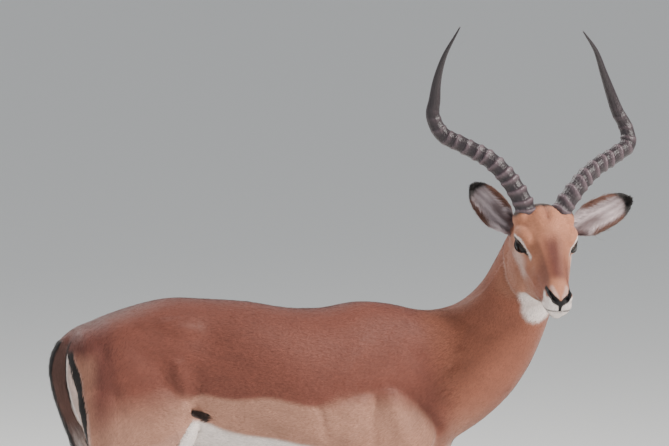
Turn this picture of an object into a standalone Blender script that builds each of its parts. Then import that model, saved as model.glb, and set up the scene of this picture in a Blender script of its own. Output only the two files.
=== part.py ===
"""A life-size impala ram (Aepyceros melampus), standing square with its head turned to its right.

Run with: blender --background --python part.py

The animal is shaped whole, from tubes that run through named cross-sections, and its flesh is then
parted into head, neck, trunk, tail and legs by thin cuts. Metres, +Z up, +X towards the chest, +Y to the
animal's left. The ground is z = 0 and the origin lies under the middle of the model's box.
"""

import math
from collections import namedtuple

import bmesh
import bpy
import numpy as np
from mathutils import Matrix, Vector

# ---------------------------------------------------------------------------------------------
# Driving dimensions
# ---------------------------------------------------------------------------------------------
ORIGIN_SHIFT = Vector((-0.1704, 0.0771, 0.0))  # from the anatomical frame to the middle of the box
GAP = 0.0003  # clear space between two neighbouring solids
SOCKET_GAP = 0.0004  # clear space round an eye or a horn's root

TORSO_SIDES = 28
LEG_SIDES = 16
TAIL_SIDES = 10
HEAD_SIDES = 28
VOXEL = 0.0045  # grid on which the flesh is fused
FLESH_TRIANGLES = 3220
SIDES = {"right": -1, "left": 1}

# The head's own frame: x forward along the palate, y to the left, z up, origin midway between the eyes.
EYE_MIDPOINT = Vector((0.553, -0.150, 1.011))
HEAD_TURN = math.radians(-93.5)
HEAD_PITCH = math.radians(24.0)
HEAD_ROLL = math.radians(-1.5)

EYE_RADIUS = 0.0195
EYE_CENTRE = Vector((-0.003, 0.0442, 0.004))

HORN_RIDGES = 15
HORN_SIDES = 10
HORN_SMOOTH_RINGS = 12

LEG_SPREAD = 0.062  # from the middle plane to a hoof
HOOF_HEIGHT = 0.040
HOOF_LENGTH = 0.058
TOE_HALF_WIDTH = 0.0115
TOE_OFFSET = 0.0120
TOE_TURN_IN = 0.0085  # how far each tip leans to the other toe
TOE_SIDES = 10

# ---------------------------------------------------------------------------------------------
# Sections and tubes
# ---------------------------------------------------------------------------------------------
# A section is a closed oval. It reaches `above` and `below` its centre along its tilted axis, and
# `half` to each side. heading is the way its underside faces in plan, tilt the rise of its axis.
Section = namedtuple("Section", "x y z heading tilt above below half square")


def trunk_section(x, top, bottom, half, level=0.5, square=2.2):
    """An upright section across the trunk, widest at `level` of its height."""
    middle = bottom + level * (top - bottom)
    return Section(x, 0.0, middle, 0.0, 90.0, top - middle, middle - bottom, half, square)


def neck_section(centre, heading, tilt, depth, half, square=2.1):
    """A section across the neck, from crest to throat."""
    return Section(*centre, heading, tilt, 0.5 * depth, 0.5 * depth, half, square)


def leg_section(z, back, front, y, half, square=2.2):
    """A level section across a leg, from its back edge to its front edge."""
    return Section(0.5 * (front + back), y, z, 180.0, 0.0, 0.5 * (front - back), 0.5 * (front - back), half, square)


def smooth_rows(rows, per_gap):
    """Rows between the given ones, on a curve that passes through each of them."""
    rows = np.array(rows, float)
    step = np.linalg.norm(np.diff(rows[:, :3], axis=0), axis=1)
    slope = np.diff(rows, axis=0) / step[:, None]
    inner = (slope[:-1] * step[1:, None] + slope[1:] * step[:-1, None]) / (step[:-1] + step[1:])[:, None]
    tangent = np.vstack([slope[:1], inner, slope[-1:]])
    made = []
    for i, length in enumerate(step):
        for t in np.arange(per_gap) / per_gap:
            a, b = 2 * t**3 - 3 * t**2 + 1, t**3 - 2 * t**2 + t
            c, d = 3 * t**2 - 2 * t**3, t**3 - t**2
            made.append(a * rows[i] + b * length * tangent[i] + c * rows[i + 1] + d * length * tangent[i + 1])
    made.append(rows[-1])
    return np.array(made)


def section_points(section, sides):
    """The outline of one section, as points round it."""
    x, y, z, heading, tilt, above, below, half, square = section
    turn, rise = math.radians(heading), math.radians(tilt)
    across = np.array([-math.sin(turn), math.cos(turn), 0.0])
    axis = np.array([-math.cos(turn) * math.cos(rise), -math.sin(turn) * math.cos(rise), math.sin(rise)])
    angle = 2 * math.pi * np.arange(sides) / sides
    c, s = np.cos(angle), np.sin(angle)
    side = half * np.sign(c) * np.abs(c) ** (2 / square)
    lift = np.where(s > 0, above, below) * np.sign(s) * np.abs(s) ** (2 / square)
    return np.array([x, y, z]) + side[:, None] * across + lift[:, None] * axis


def mesh_object(name, points, faces):
    mesh = bpy.data.meshes.new(name)
    mesh.from_pydata([tuple(p) for p in points], [], faces)
    solid = bmesh.new()
    solid.from_mesh(mesh)
    bmesh.ops.recalc_face_normals(solid, faces=solid.faces)
    solid.to_mesh(mesh)
    solid.free()
    made = bpy.data.objects.new(name, mesh)
    bpy.context.scene.collection.objects.link(made)
    return made


def ring_faces(rings, sides):
    """Faces between rings of points, with a cap on each end."""
    faces = [
        (r * sides + k, r * sides + (k + 1) % sides, (r + 1) * sides + (k + 1) % sides, (r + 1) * sides + k)
        for r in range(rings - 1)
        for k in range(sides)
    ]
    return faces + [tuple(range(sides)), tuple((rings - 1) * sides + k for k in range(sides))]


def tube(name, sections, sides, per_gap=3):
    """A closed skin stretched over the sections, with a flat cap on each end."""
    rows = smooth_rows(sections, per_gap)
    points = np.vstack([section_points(row, sides) for row in rows])
    return mesh_object(name, points, ring_faces(len(rows), sides))


def ellipsoid(name, centre, radii, turn=0.0, pitch=0.0):
    """A muscle or bone mass. turn and pitch are degrees about Z and then about Y."""
    bpy.ops.mesh.primitive_uv_sphere_add(segments=24, ring_count=14, radius=1.0)
    made = bpy.context.object
    made.name = name
    spin = Matrix.Rotation(math.radians(turn), 4, "Z") @ Matrix.Rotation(math.radians(pitch), 4, "Y")
    made.data.transform(Matrix.Translation(centre) @ spin @ Matrix.Diagonal((*radii, 1.0)))
    return made


def head_matrix():
    """Carries the head's own frame into the model."""
    turn = Matrix.Rotation(HEAD_TURN, 4, "Z")
    pitch = Matrix.Rotation(HEAD_PITCH, 4, "Y")
    roll = Matrix.Rotation(HEAD_ROLL, 4, "X")
    return Matrix.Translation(EYE_MIDPOINT) @ turn @ pitch @ roll


# ---------------------------------------------------------------------------------------------
# Trunk and neck
# ---------------------------------------------------------------------------------------------
TORSO = [
    trunk_section(-0.402, 0.825, 0.745, 0.030),
    trunk_section(-0.386, 0.850, 0.690, 0.064, 0.6),
    trunk_section(-0.345, 0.871, 0.645, 0.088, 0.6),
    trunk_section(-0.275, 0.896, 0.622, 0.098, 0.62),
    trunk_section(-0.195, 0.915, 0.622, 0.098, 0.62),
    trunk_section(-0.110, 0.912, 0.610, 0.106, 0.52),
    trunk_section(-0.020, 0.904, 0.582, 0.121, 0.48),
    trunk_section(0.060, 0.890, 0.558, 0.129, 0.45),
    trunk_section(0.130, 0.889, 0.543, 0.123, 0.43),
    trunk_section(0.200, 0.900, 0.534, 0.107, 0.42),
    trunk_section(0.270, 0.894, 0.538, 0.094, 0.42),
    trunk_section(0.325, 0.881, 0.556, 0.087, 0.44),
    neck_section((0.385, 0.000, 0.745), 0, 86, 0.272, 0.081),
    neck_section((0.438, -0.002, 0.772), 0, 79, 0.246, 0.074),
    neck_section((0.478, -0.007, 0.806), -4, 71, 0.226, 0.069),
    neck_section((0.506, -0.017, 0.845), -12, 64, 0.205, 0.064),
    neck_section((0.526, -0.030, 0.890), -26, 58, 0.186, 0.061),
    neck_section((0.541, -0.046, 0.938), -46, 52, 0.166, 0.059),
    neck_section((0.551, -0.062, 0.984), -68, 47, 0.148, 0.057),
    neck_section((0.556, -0.076, 1.022), -86, 44, 0.126, 0.050),
]


def torso():
    masses = [tube("torso", TORSO, TORSO_SIDES)]
    for side in (-1, 1):
        masses += [
            ellipsoid("haunch", (-0.280, side * 0.056, 0.755), (0.105, 0.052, 0.105), pitch=-20),
            ellipsoid("rump", (-0.350, side * 0.036, 0.770), (0.052, 0.042, 0.070)),
            ellipsoid("hip", (-0.165, side * 0.071, 0.848), (0.070, 0.024, 0.034), pitch=12),
            ellipsoid("shoulder", (0.232, side * 0.054, 0.690), (0.098, 0.050, 0.150), pitch=-22),
        ]
    masses += [
        ellipsoid("brisket", (0.312, 0.0, 0.630), (0.092, 0.066, 0.086)),
        ellipsoid("sheath", (-0.085, 0.0, 0.605), (0.062, 0.014, 0.018), pitch=17),
        ellipsoid("scrotum", (-0.262, 0.0, 0.604), (0.027, 0.025, 0.040)),
    ]
    return masses


# ---------------------------------------------------------------------------------------------
# Head, in its own frame
# ---------------------------------------------------------------------------------------------
HEAD = [
    trunk_section(-0.118, 0.010, -0.055, 0.034),
    trunk_section(-0.106, 0.036, -0.086, 0.050),
    trunk_section(-0.078, 0.060, -0.104, 0.058),
    trunk_section(-0.045, 0.066, -0.119, 0.060, 0.62),
    trunk_section(-0.010, 0.058, -0.119, 0.056, 0.64, 2.3),
    trunk_section(0.022, 0.043, -0.111, 0.048, 0.62, 2.2),
    trunk_section(0.052, 0.028, -0.098, 0.040, 0.56),
    trunk_section(0.082, 0.014, -0.088, 0.0325, 0.52),
    trunk_section(0.110, 0.001, -0.081, 0.0290, 0.48),
    trunk_section(0.132, -0.009, -0.079, 0.0285, 0.48),
    trunk_section(0.147, -0.018, -0.076, 0.0270, 0.5),
    trunk_section(0.157, -0.028, -0.070, 0.0205, 0.5),
    trunk_section(0.162, -0.036, -0.058, 0.0090, 0.5),
]


def head():
    masses = [tube("skull", HEAD, HEAD_SIDES)]
    for side in (-1, 1):
        masses += [
            ellipsoid("brow", (-0.008, side * 0.046, 0.020), (0.034, 0.019, 0.020), turn=side * -16),
            ellipsoid("cheek", (-0.040, side * 0.039, -0.066), (0.062, 0.024, 0.052), turn=side * -5),
            ellipsoid("horn root", (-0.048, side * 0.042, 0.036), (0.029, 0.022, 0.026)),
            ellipsoid("nostril", (0.142, side * 0.0165, -0.032), (0.018, 0.0120, 0.014)),
            ellipsoid("lip", (0.134, side * 0.0165, -0.053), (0.024, 0.0140, 0.013)),
        ]
    masses.append(ellipsoid("chin", (0.130, 0.0, -0.073), (0.024, 0.0155, 0.012)))
    for mass in masses:
        mass.data.transform(head_matrix())
    return masses


# ---------------------------------------------------------------------------------------------
# Legs
# ---------------------------------------------------------------------------------------------
def foreleg(side, step):
    """side is -1 for the right leg. step moves the hoof forward, and the leg above it by its share."""

    def at(z, back, front, y, half, square=2.2):
        share = step * max(0.0, 1.0 - z / 0.60)
        return leg_section(z, back + share, front + share, side * y, half, square)

    sections = [
        at(0.790, 0.190, 0.260, 0.050, 0.014),
        at(0.735, 0.165, 0.310, 0.060, 0.026),
        at(0.670, 0.138, 0.345, 0.069, 0.034),
        at(0.610, 0.128, 0.340, 0.073, 0.036),
        at(0.560, 0.138, 0.290, 0.074, 0.034),
        at(0.525, 0.148, 0.248, 0.073, 0.029),
        at(0.480, 0.160, 0.233, 0.070, 0.0255),
        at(0.420, 0.173, 0.225, 0.068, 0.0215),
        at(0.350, 0.181, 0.219, 0.065, 0.0170),
        at(0.312, 0.180, 0.222, 0.064, 0.0190),
        at(0.288, 0.181, 0.221, 0.064, 0.0185),
        at(0.260, 0.186, 0.215, 0.063, 0.0130),
        at(0.190, 0.188, 0.213, LEG_SPREAD, 0.0112),
        at(0.128, 0.187, 0.213, LEG_SPREAD, 0.0120),
        at(0.098, 0.180, 0.219, LEG_SPREAD, 0.0165),
        at(0.078, 0.186, 0.221, LEG_SPREAD, 0.0150),
        at(0.056, 0.193, 0.229, LEG_SPREAD, 0.0155),
        at(0.030, 0.197, 0.240, LEG_SPREAD, 0.0170),
    ]
    return tube("foreleg", sections, LEG_SIDES)


def hindleg(side, step):
    def at(z, back, front, y, half, square=2.2):
        share = step * max(0.0, 1.0 - z / 0.66)
        return leg_section(z, back + share, front + share, side * y, half, square)

    sections = [
        at(0.800, -0.340, -0.220, 0.056, 0.022),
        at(0.745, -0.385, -0.175, 0.068, 0.036),
        at(0.690, -0.386, -0.146, 0.074, 0.041),
        at(0.640, -0.372, -0.146, 0.076, 0.042),
        at(0.590, -0.354, -0.184, 0.076, 0.038),
        at(0.545, -0.342, -0.220, 0.075, 0.032),
        at(0.490, -0.345, -0.262, 0.073, 0.025),
        at(0.440, -0.362, -0.294, 0.070, 0.0195),
        at(0.400, -0.381, -0.314, 0.067, 0.0165),
        at(0.370, -0.391, -0.325, 0.065, 0.0175),
        at(0.335, -0.381, -0.335, 0.064, 0.0165),
        at(0.295, -0.371, -0.337, 0.063, 0.0130),
        at(0.210, -0.362, -0.333, LEG_SPREAD, 0.0115),
        at(0.135, -0.355, -0.326, LEG_SPREAD, 0.0125),
        at(0.102, -0.357, -0.317, LEG_SPREAD, 0.0170),
        at(0.080, -0.350, -0.314, LEG_SPREAD, 0.0155),
        at(0.056, -0.341, -0.304, LEG_SPREAD, 0.0160),
        at(0.030, -0.337, -0.294, LEG_SPREAD, 0.0170),
    ]
    return tube("hindleg", sections, LEG_SIDES)


FORE_STEP = {"right": 0.0, "left": 0.045}
HIND_STEP = {"right": 0.0, "left": 0.030}
FORE_TOE_X = 0.192
HIND_TOE_X = -0.341
LEG_BLOCKS = {"fore": (0.05, 0.375, 0.038, 0.600), "hind": (-0.60, -0.10, 0.004, 0.640)}  # x, x, |y|, top


# Rings of a toe from the sole up: height, length and half width, as shares of the whole.
TOE_RINGS = [(0.0, 1.0, 0.97), (0.12, 0.98, 1.0), (0.60, 0.86, 0.97), (1.0, 0.76, 0.88)]


def toe(name, x, y, inward):
    """One half of a cloven hoof: flat sole, upright heel, pointed tip."""
    points = []
    for height, length, half in TOE_RINGS:
        for k in range(TOE_SIDES):
            angle = 2 * math.pi * k / TOE_SIDES
            forward = 0.5 * (1 + math.cos(angle))
            width = half * TOE_HALF_WIDTH * (1.0 - 0.55 * forward**2) * 1.08
            across = y + math.sin(angle) * width + inward * TOE_TURN_IN * forward**3
            points.append((x + forward * length * HOOF_LENGTH, across, height * HOOF_HEIGHT))
    return mesh_object(name, points, ring_faces(len(TOE_RINGS), TOE_SIDES))


# ---------------------------------------------------------------------------------------------
# Tail
# ---------------------------------------------------------------------------------------------
TAIL = [
    leg_section(0.858, -0.384, -0.350, 0.0, 0.013),
    leg_section(0.836, -0.410, -0.380, 0.0, 0.015),
    leg_section(0.808, -0.425, -0.396, 0.0, 0.016),
    leg_section(0.775, -0.430, -0.400, 0.0, 0.017),
    leg_section(0.735, -0.423, -0.394, 0.0, 0.018),
    leg_section(0.690, -0.408, -0.380, 0.0, 0.018),
    leg_section(0.640, -0.388, -0.362, 0.0, 0.017),
    leg_section(0.590, -0.371, -0.347, 0.0, 0.016),
    leg_section(0.550, -0.361, -0.341, 0.0, 0.013),
    leg_section(0.522, -0.355, -0.342, 0.0, 0.007),
]

# ---------------------------------------------------------------------------------------------
# Ears, horns and eyes
# ---------------------------------------------------------------------------------------------
Ear = namedtuple("Ear", "base tip facing length width")
EARS = {
    "right": Ear((-0.066, -0.054, -0.002), (-0.150, -0.128, 0.058), (0.80, -0.34, 0.42), 0.127, 0.057),
    "left": Ear((-0.066, 0.054, 0.000), (-0.118, 0.194, 0.044), (0.85, 0.02, 0.45), 0.158, 0.059),
}
EAR_THICKNESS = 0.0044
EAR_ROWS = 11
EAR_COLUMNS = 9


def ear_outline(share):
    """Half the width of the opened ear at a share of its length, where its widest is 1."""
    rise = 0.52 + 0.48 * math.sin(math.pi * min(0.5, share / 0.9 + 0.02))
    return rise * math.sqrt(max(0.0, 1.0 - max(0.0, (share - 0.45) / 0.55) ** 2.4)) + 0.03


def ear(name, spec):
    """A leaf-shaped cup: rolled nearly into a tube at its root and open along its front."""
    base, tip = Vector(spec.base), Vector(spec.tip)
    along = (tip - base).normalized()
    facing = Vector(spec.facing)
    facing = (facing - facing.dot(along) * along).normalized()
    across = along.cross(facing)
    points = []
    for r in range(EAR_ROWS):
        share = math.sin(0.5 * math.pi * r / (EAR_ROWS - 1)) ** 0.9
        arc = 0.5 * spec.width * 1.25 * ear_outline(share)
        wrap = math.radians(150 - 95 * min(1.0, share / 0.35) ** 0.8)
        radius = arc / wrap
        for c in range(EAR_COLUMNS):
            a = wrap * (2 * c / (EAR_COLUMNS - 1) - 1)
            lift = radius * (1 - math.cos(a)) - min(radius, 0.016)
            points.append(base + along * (share * spec.length) + across * (radius * math.sin(a)) + facing * lift)
    faces = [
        (r * EAR_COLUMNS + c, r * EAR_COLUMNS + c + 1, (r + 1) * EAR_COLUMNS + c + 1, (r + 1) * EAR_COLUMNS + c)
        for r in range(EAR_ROWS - 1)
        for c in range(EAR_COLUMNS - 1)
    ]
    made = mesh_object(name, points, faces)
    made.data.transform(head_matrix())
    shell = made.modifiers.new("Thickness", "SOLIDIFY")
    shell.thickness = EAR_THICKNESS
    shell.offset = 0.0
    return applied(made)


# Points along each horn's middle, in the head's frame, and its radius there.
Bend = namedtuple("Bend", "x y z radius")
HORNS = {
    "right": [
        Bend(-0.036, -0.031, 0.024, 0.0205),
        Bend(-0.060, -0.040, 0.061, 0.0200),
        Bend(-0.078, -0.054, 0.085, 0.0190),
        Bend(-0.108, -0.082, 0.114, 0.0180),
        Bend(-0.130, -0.104, 0.127, 0.0174),
        Bend(-0.166, -0.152, 0.140, 0.0166),
        Bend(-0.194, -0.195, 0.154, 0.0156),
        Bend(-0.213, -0.2115, 0.186, 0.0138),
        Bend(-0.220, -0.2095, 0.214, 0.0118),
        Bend(-0.224, -0.209, 0.243, 0.0095),
        Bend(-0.224, -0.202, 0.302, 0.0056),
        Bend(-0.215, -0.178, 0.381, 0.0012),
    ],
    "left": [
        Bend(-0.036, 0.031, 0.024, 0.0205),
        Bend(-0.058, 0.040, 0.058, 0.0200),
        Bend(-0.076, 0.061, 0.083, 0.0190),
        Bend(-0.099, 0.086, 0.102, 0.0180),
        Bend(-0.123, 0.116, 0.117, 0.0174),
        Bend(-0.150, 0.158, 0.130, 0.0166),
        Bend(-0.174, 0.189, 0.144, 0.0156),
        Bend(-0.193, 0.187, 0.165, 0.0142),
        Bend(-0.209, 0.1675, 0.197, 0.0126),
        Bend(-0.220, 0.153, 0.229, 0.0106),
        Bend(-0.223, 0.133, 0.274, 0.0078),
        Bend(-0.222, 0.108, 0.329, 0.0046),
        Bend(-0.215, 0.075, 0.375, 0.0012),
    ],
}
RIDGED_SHARE = 0.66  # of the horn's length from its base
RIDGE_HEIGHT = 0.0022


def horn(name, bends):
    """A tapering horn with ridges round its lower part."""
    rows = smooth_rows(bends, 12)
    middle = rows[:, :3]
    length = np.concatenate([[0.0], np.cumsum(np.linalg.norm(np.diff(middle, axis=0), axis=1))])
    share = length / length[-1]
    ridged = np.linspace(0.0, RIDGED_SHARE, 2 * HORN_RIDGES + 1)
    stations = np.concatenate([ridged, np.linspace(RIDGED_SHARE, 1.0, HORN_SMOOTH_RINGS)[1:]])
    centre = np.stack([np.interp(stations, share, middle[:, k]) for k in range(3)], axis=1)
    radius = np.interp(stations, share, rows[:, 3])
    fade = np.clip((RIDGED_SHARE - stations) / 0.25, 0.0, 1.0)
    crest = np.where(np.arange(len(stations)) % 2 == 1, 1.0, -0.3)
    radius += RIDGE_HEIGHT * fade * crest
    forward = np.gradient(centre, axis=0)
    forward /= np.linalg.norm(forward, axis=1)[:, None]
    side = np.array([1.0, 0.0, 0.0]) - forward * forward[:, :1]
    side /= np.linalg.norm(side, axis=1)[:, None]
    other = np.cross(forward, side)
    angle = 2 * math.pi * np.arange(HORN_SIDES) / HORN_SIDES
    ring = np.cos(angle)[None, :, None] * side[:, None] + np.sin(angle)[None, :, None] * other[:, None]
    points = (centre[:, None] + radius[:, None, None] * ring).reshape(-1, 3)
    made = mesh_object(name, points, ring_faces(len(stations), HORN_SIDES))
    made.data.transform(head_matrix())
    return made


def eyeball(name, side):
    bpy.ops.mesh.primitive_uv_sphere_add(segments=16, ring_count=10, radius=EYE_RADIUS)
    made = bpy.context.object
    made.name = name
    made.data.transform(head_matrix() @ Matrix.Translation((EYE_CENTRE.x, side * EYE_CENTRE.y, EYE_CENTRE.z)))
    return made


# ---------------------------------------------------------------------------------------------
# Fusing and parting
# ---------------------------------------------------------------------------------------------
def applied(made):
    """The object with its modifiers made real."""
    view = bpy.context.evaluated_depsgraph_get()
    mesh = bpy.data.meshes.new_from_object(made.evaluated_get(view))
    made.modifiers.clear()
    made.data = mesh
    return made


def remove(made):
    bpy.data.objects.remove(made, do_unlink=True)


def joined(name, masses):
    """All the masses in one mesh, still passing through each other."""
    whole = bmesh.new()
    for mass in masses:
        whole.from_mesh(mass.data)
        remove(mass)
    mesh = bpy.data.meshes.new(name)
    whole.to_mesh(mesh)
    whole.free()
    made = bpy.data.objects.new(name, mesh)
    bpy.context.scene.collection.objects.link(made)
    return made


def fused(name, masses, voxel, triangles):
    """One closed skin round all the masses, softened where they meet."""
    made = joined(name, masses)
    grid = made.modifiers.new("Fuse", "REMESH")
    grid.mode = "VOXEL"
    grid.voxel_size = voxel
    soften = made.modifiers.new("Soften", "SMOOTH")
    soften.factor = 0.5
    soften.iterations = 6
    applied(made)
    thin = made.modifiers.new("Thin out", "DECIMATE")
    thin.ratio = triangles / sum(len(p.vertices) - 2 for p in made.data.polygons)
    thin.use_collapse_triangulate = True
    return applied(made)


def combined(made, other, operation, keep_other=False):
    cut = made.modifiers.new("Cut", "BOOLEAN")
    cut.operation = operation
    cut.solver = "EXACT"
    cut.object = other
    applied(made)
    if not keep_other:
        remove(other)
    return made


def swollen(made, reach):
    """A copy of the solid grown outward by reach, to cut with."""
    twin = duplicate(made, "swollen")
    grow = bmesh.new()
    grow.from_mesh(twin.data)
    for corner in grow.verts:
        corner.co += corner.normal * reach
    grow.to_mesh(twin.data)
    grow.free()
    return twin


def duplicate(made, name):
    twin = bpy.data.objects.new(name, made.data.copy())
    bpy.context.scene.collection.objects.link(twin)
    return twin


def block(name, low, high, frame=Matrix()):
    """A box between two corners, carried by frame."""
    (x0, y0, z0), (x1, y1, z1) = low, high
    points = [Vector((x, y, z)) for z in (z0, z1) for y in (y0, y1) for x in (x0, x1)]
    faces = [(0, 1, 3, 2), (4, 5, 7, 6), (0, 1, 5, 4), (2, 3, 7, 6), (0, 2, 6, 4), (1, 3, 7, 5)]
    made = mesh_object(name, points, faces)
    made.data.transform(frame)
    return made


def parted(flesh, name, low, high, frame=Matrix()):
    """Takes the flesh inside a box away as its own solid, leaving GAP round it."""
    piece = duplicate(flesh, name)
    combined(piece, block("inside", low, high, frame), "INTERSECT")
    low = [v - GAP for v in low]
    high = [v + GAP for v in high]
    combined(flesh, block("outside", low, high, frame), "DIFFERENCE")
    return piece


# ---------------------------------------------------------------------------------------------
# Materials
# ---------------------------------------------------------------------------------------------
SURFACES = {
    "coat": ((0.42, 0.19, 0.10), 0.8),
    "horn": ((0.06, 0.045, 0.045), 0.45),
    "hoof": ((0.015, 0.013, 0.012), 0.5),
    "eye": ((0.012, 0.007, 0.005), 0.08),
}


def material(slot):
    colour, roughness = SURFACES[slot]
    made = bpy.data.materials.get(slot) or bpy.data.materials.new(slot)
    made.use_nodes = True
    shader = made.node_tree.nodes["Principled BSDF"]
    shader.inputs["Base Color"].default_value = (*colour, 1.0)
    shader.inputs["Roughness"].default_value = roughness
    return made


# ---------------------------------------------------------------------------------------------
# The animal
# ---------------------------------------------------------------------------------------------
def turned(x, y, z, degrees, axis):
    return Matrix.Translation((x, y, z)) @ Matrix.Rotation(math.radians(degrees), 4, axis)


def build():
    for leftover in list(bpy.data.objects):
        remove(leftover)

    masses = torso() + head()
    for name, side in SIDES.items():
        masses += [foreleg(side, FORE_STEP[name]), hindleg(side, HIND_STEP[name])]
    flesh = fused("trunk", masses, VOXEL, FLESH_TRIANGLES)

    combined(flesh, block("below", (-1, -1, -1), (1, 1, HOOF_HEIGHT + GAP)), "DIFFERENCE")

    nodes = {}
    for name, side in SIDES.items():
        for place, x, step in (("fore", FORE_TOE_X, FORE_STEP), ("hind", HIND_TOE_X, HIND_STEP)):
            for which, across in (("inner", -TOE_OFFSET), ("outer", TOE_OFFSET)):
                y = side * (LEG_SPREAD + across)
                inward = -side * math.copysign(1.0, across)
                nodes[f"hoof_{place}_{name}_{which}"] = (toe("toe", x + step[name], y, inward), "hoof")
        for what, made in (("eye", eyeball("eye", side)), ("horn", horn("horn", HORNS[name]))):
            combined(flesh, swollen(made, SOCKET_GAP), "DIFFERENCE")
            nodes[f"{what}_{name}"] = (made, what)

    dock = tube("tail", TAIL, TAIL_SIDES, 1)
    combined(dock, swollen(flesh, GAP), "DIFFERENCE")
    nodes["tail"] = (dock, "coat")
    for name in SIDES:
        pinna = ear("ear", EARS[name])
        combined(pinna, swollen(flesh, GAP), "DIFFERENCE")
        nodes[f"ear_{name}"] = (pinna, "coat")

    head_cut = head_matrix() @ turned(-0.083, 0.0, 0.0, -8, "Y")
    nodes["head"] = (parted(flesh, "head", (0.0, -0.2, -0.2), (0.4, 0.2, 0.2), head_cut), "coat")
    neck_cut = turned(0.392, 0.0, 0.72, -10, "Y")
    nodes["neck"] = (parted(flesh, "neck", (0.0, -0.4, -0.4), (0.4, 0.2, 0.5), neck_cut), "coat")
    for name, side in SIDES.items():
        for place, (x0, x1, y0, top) in LEG_BLOCKS.items():
            near, far = sorted((side * y0, side * 0.25))
            low, high = (x0, near, -0.1), (x1, far, top)
            nodes[f"leg_{place}_{name}"] = (parted(flesh, "leg", low, high), "coat")
    nodes["trunk"] = (flesh, "coat")

    shelf = bpy.data.collections.new("impala")
    bpy.context.scene.collection.children.link(shelf)
    for name, (made, slot) in nodes.items():
        made.name = made.data.name = name
        made.data.transform(Matrix.Translation(ORIGIN_SHIFT))
        made.data.materials.clear()
        made.data.materials.append(material(slot))
        for held in list(made.users_collection):
            held.objects.unlink(made)
        shelf.objects.link(made)
    for block_left in list(bpy.context.scene.collection.objects):
        remove(block_left)


build()
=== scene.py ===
"""An impala ram (Aepyceros melampus) as a still, life-size model: skin, coat, eyes, horns and hooves.

The body is shaped in an anatomical frame, +X towards the chest and +Y to the animal's left, and moved
onto the CAD's frame at the end by ORIGIN_SHIFT. Metres, +Z up, ground at z = 0.
"""

import math
from collections import namedtuple

import bmesh
import bpy
import numpy as np
from mathutils import Matrix, Vector
from mathutils.bvhtree import BVHTree


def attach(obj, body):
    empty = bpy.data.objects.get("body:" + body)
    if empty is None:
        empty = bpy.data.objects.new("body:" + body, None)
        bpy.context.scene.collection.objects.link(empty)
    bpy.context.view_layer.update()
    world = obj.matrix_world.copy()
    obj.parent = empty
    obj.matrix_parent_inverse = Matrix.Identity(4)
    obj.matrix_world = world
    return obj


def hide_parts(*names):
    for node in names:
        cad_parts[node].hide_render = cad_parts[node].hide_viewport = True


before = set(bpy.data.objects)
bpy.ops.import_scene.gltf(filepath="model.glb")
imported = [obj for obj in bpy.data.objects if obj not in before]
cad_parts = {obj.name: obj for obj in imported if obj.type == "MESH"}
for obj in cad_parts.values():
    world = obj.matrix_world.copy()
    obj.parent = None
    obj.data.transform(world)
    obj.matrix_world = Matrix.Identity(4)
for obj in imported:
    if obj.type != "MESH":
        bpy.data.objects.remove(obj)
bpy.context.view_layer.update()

# ---------------------------------------------------------------------------------------------
# Driving dimensions
# ---------------------------------------------------------------------------------------------
SKIN_TRIANGLES = 165000

ORIGIN_SHIFT = Vector((-0.1704, 0.0771, 0.0))  # from the anatomical frame to the middle of the box
TORSO_SIDES = 48
LEG_SIDES = 32
HEAD_SIDES = 56
SIDES = {"right": -1, "left": 1}
EYE_MIDPOINT = Vector((0.553, -0.150, 1.011))
HEAD_TURN = math.radians(-93.5)
HEAD_PITCH = math.radians(24.0)
HEAD_ROLL = math.radians(-1.5)
EYE_RADIUS = 0.0195
EYE_CENTRE = Vector((-0.003, 0.0442, 0.004))
HORN_RIDGES = 15
LEG_SPREAD = 0.062  # from the middle plane to a hoof
HOOF_HEIGHT = 0.040
HOOF_LENGTH = 0.058
TOE_HALF_WIDTH = 0.0115
TOE_OFFSET = 0.0120
TOE_TURN_IN = 0.0085  # how far each tip leans to the other toe

Section = namedtuple("Section", "x y z heading tilt above below half square")


def trunk_section(x, top, bottom, half, level=0.5, square=2.2):
    """An upright section across the trunk, widest at `level` of its height."""
    middle = bottom + level * (top - bottom)
    return Section(x, 0.0, middle, 0.0, 90.0, top - middle, middle - bottom, half, square)


def neck_section(centre, heading, tilt, depth, half, square=2.1):
    """A section across the neck, from crest to throat."""
    return Section(*centre, heading, tilt, 0.5 * depth, 0.5 * depth, half, square)


def leg_section(z, back, front, y, half, square=2.2):
    """A level section across a leg, from its back edge to its front edge."""
    reach = 0.5 * (front - back)
    return Section(0.5 * (front + back), y, z, 180.0, 0.0, reach, reach, half, square)


def smooth_rows(rows, per_gap):
    """Rows between the given ones, on a curve that passes through each of them."""
    rows = np.array(rows, float)
    step = np.linalg.norm(np.diff(rows[:, :3], axis=0), axis=1)
    slope = np.diff(rows, axis=0) / step[:, None]
    inner = (slope[:-1] * step[1:, None] + slope[1:] * step[:-1, None]) / (step[:-1] + step[1:])[:, None]
    tangent = np.vstack([slope[:1], inner, slope[-1:]])
    made = []
    for i, length in enumerate(step):
        for t in np.arange(per_gap) / per_gap:
            a, b = 2 * t**3 - 3 * t**2 + 1, t**3 - 2 * t**2 + t
            c, d = 3 * t**2 - 2 * t**3, t**3 - t**2
            made.append(a * rows[i] + b * length * tangent[i] + c * rows[i + 1] + d * length * tangent[i + 1])
    made.append(rows[-1])
    return np.array(made)


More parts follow.
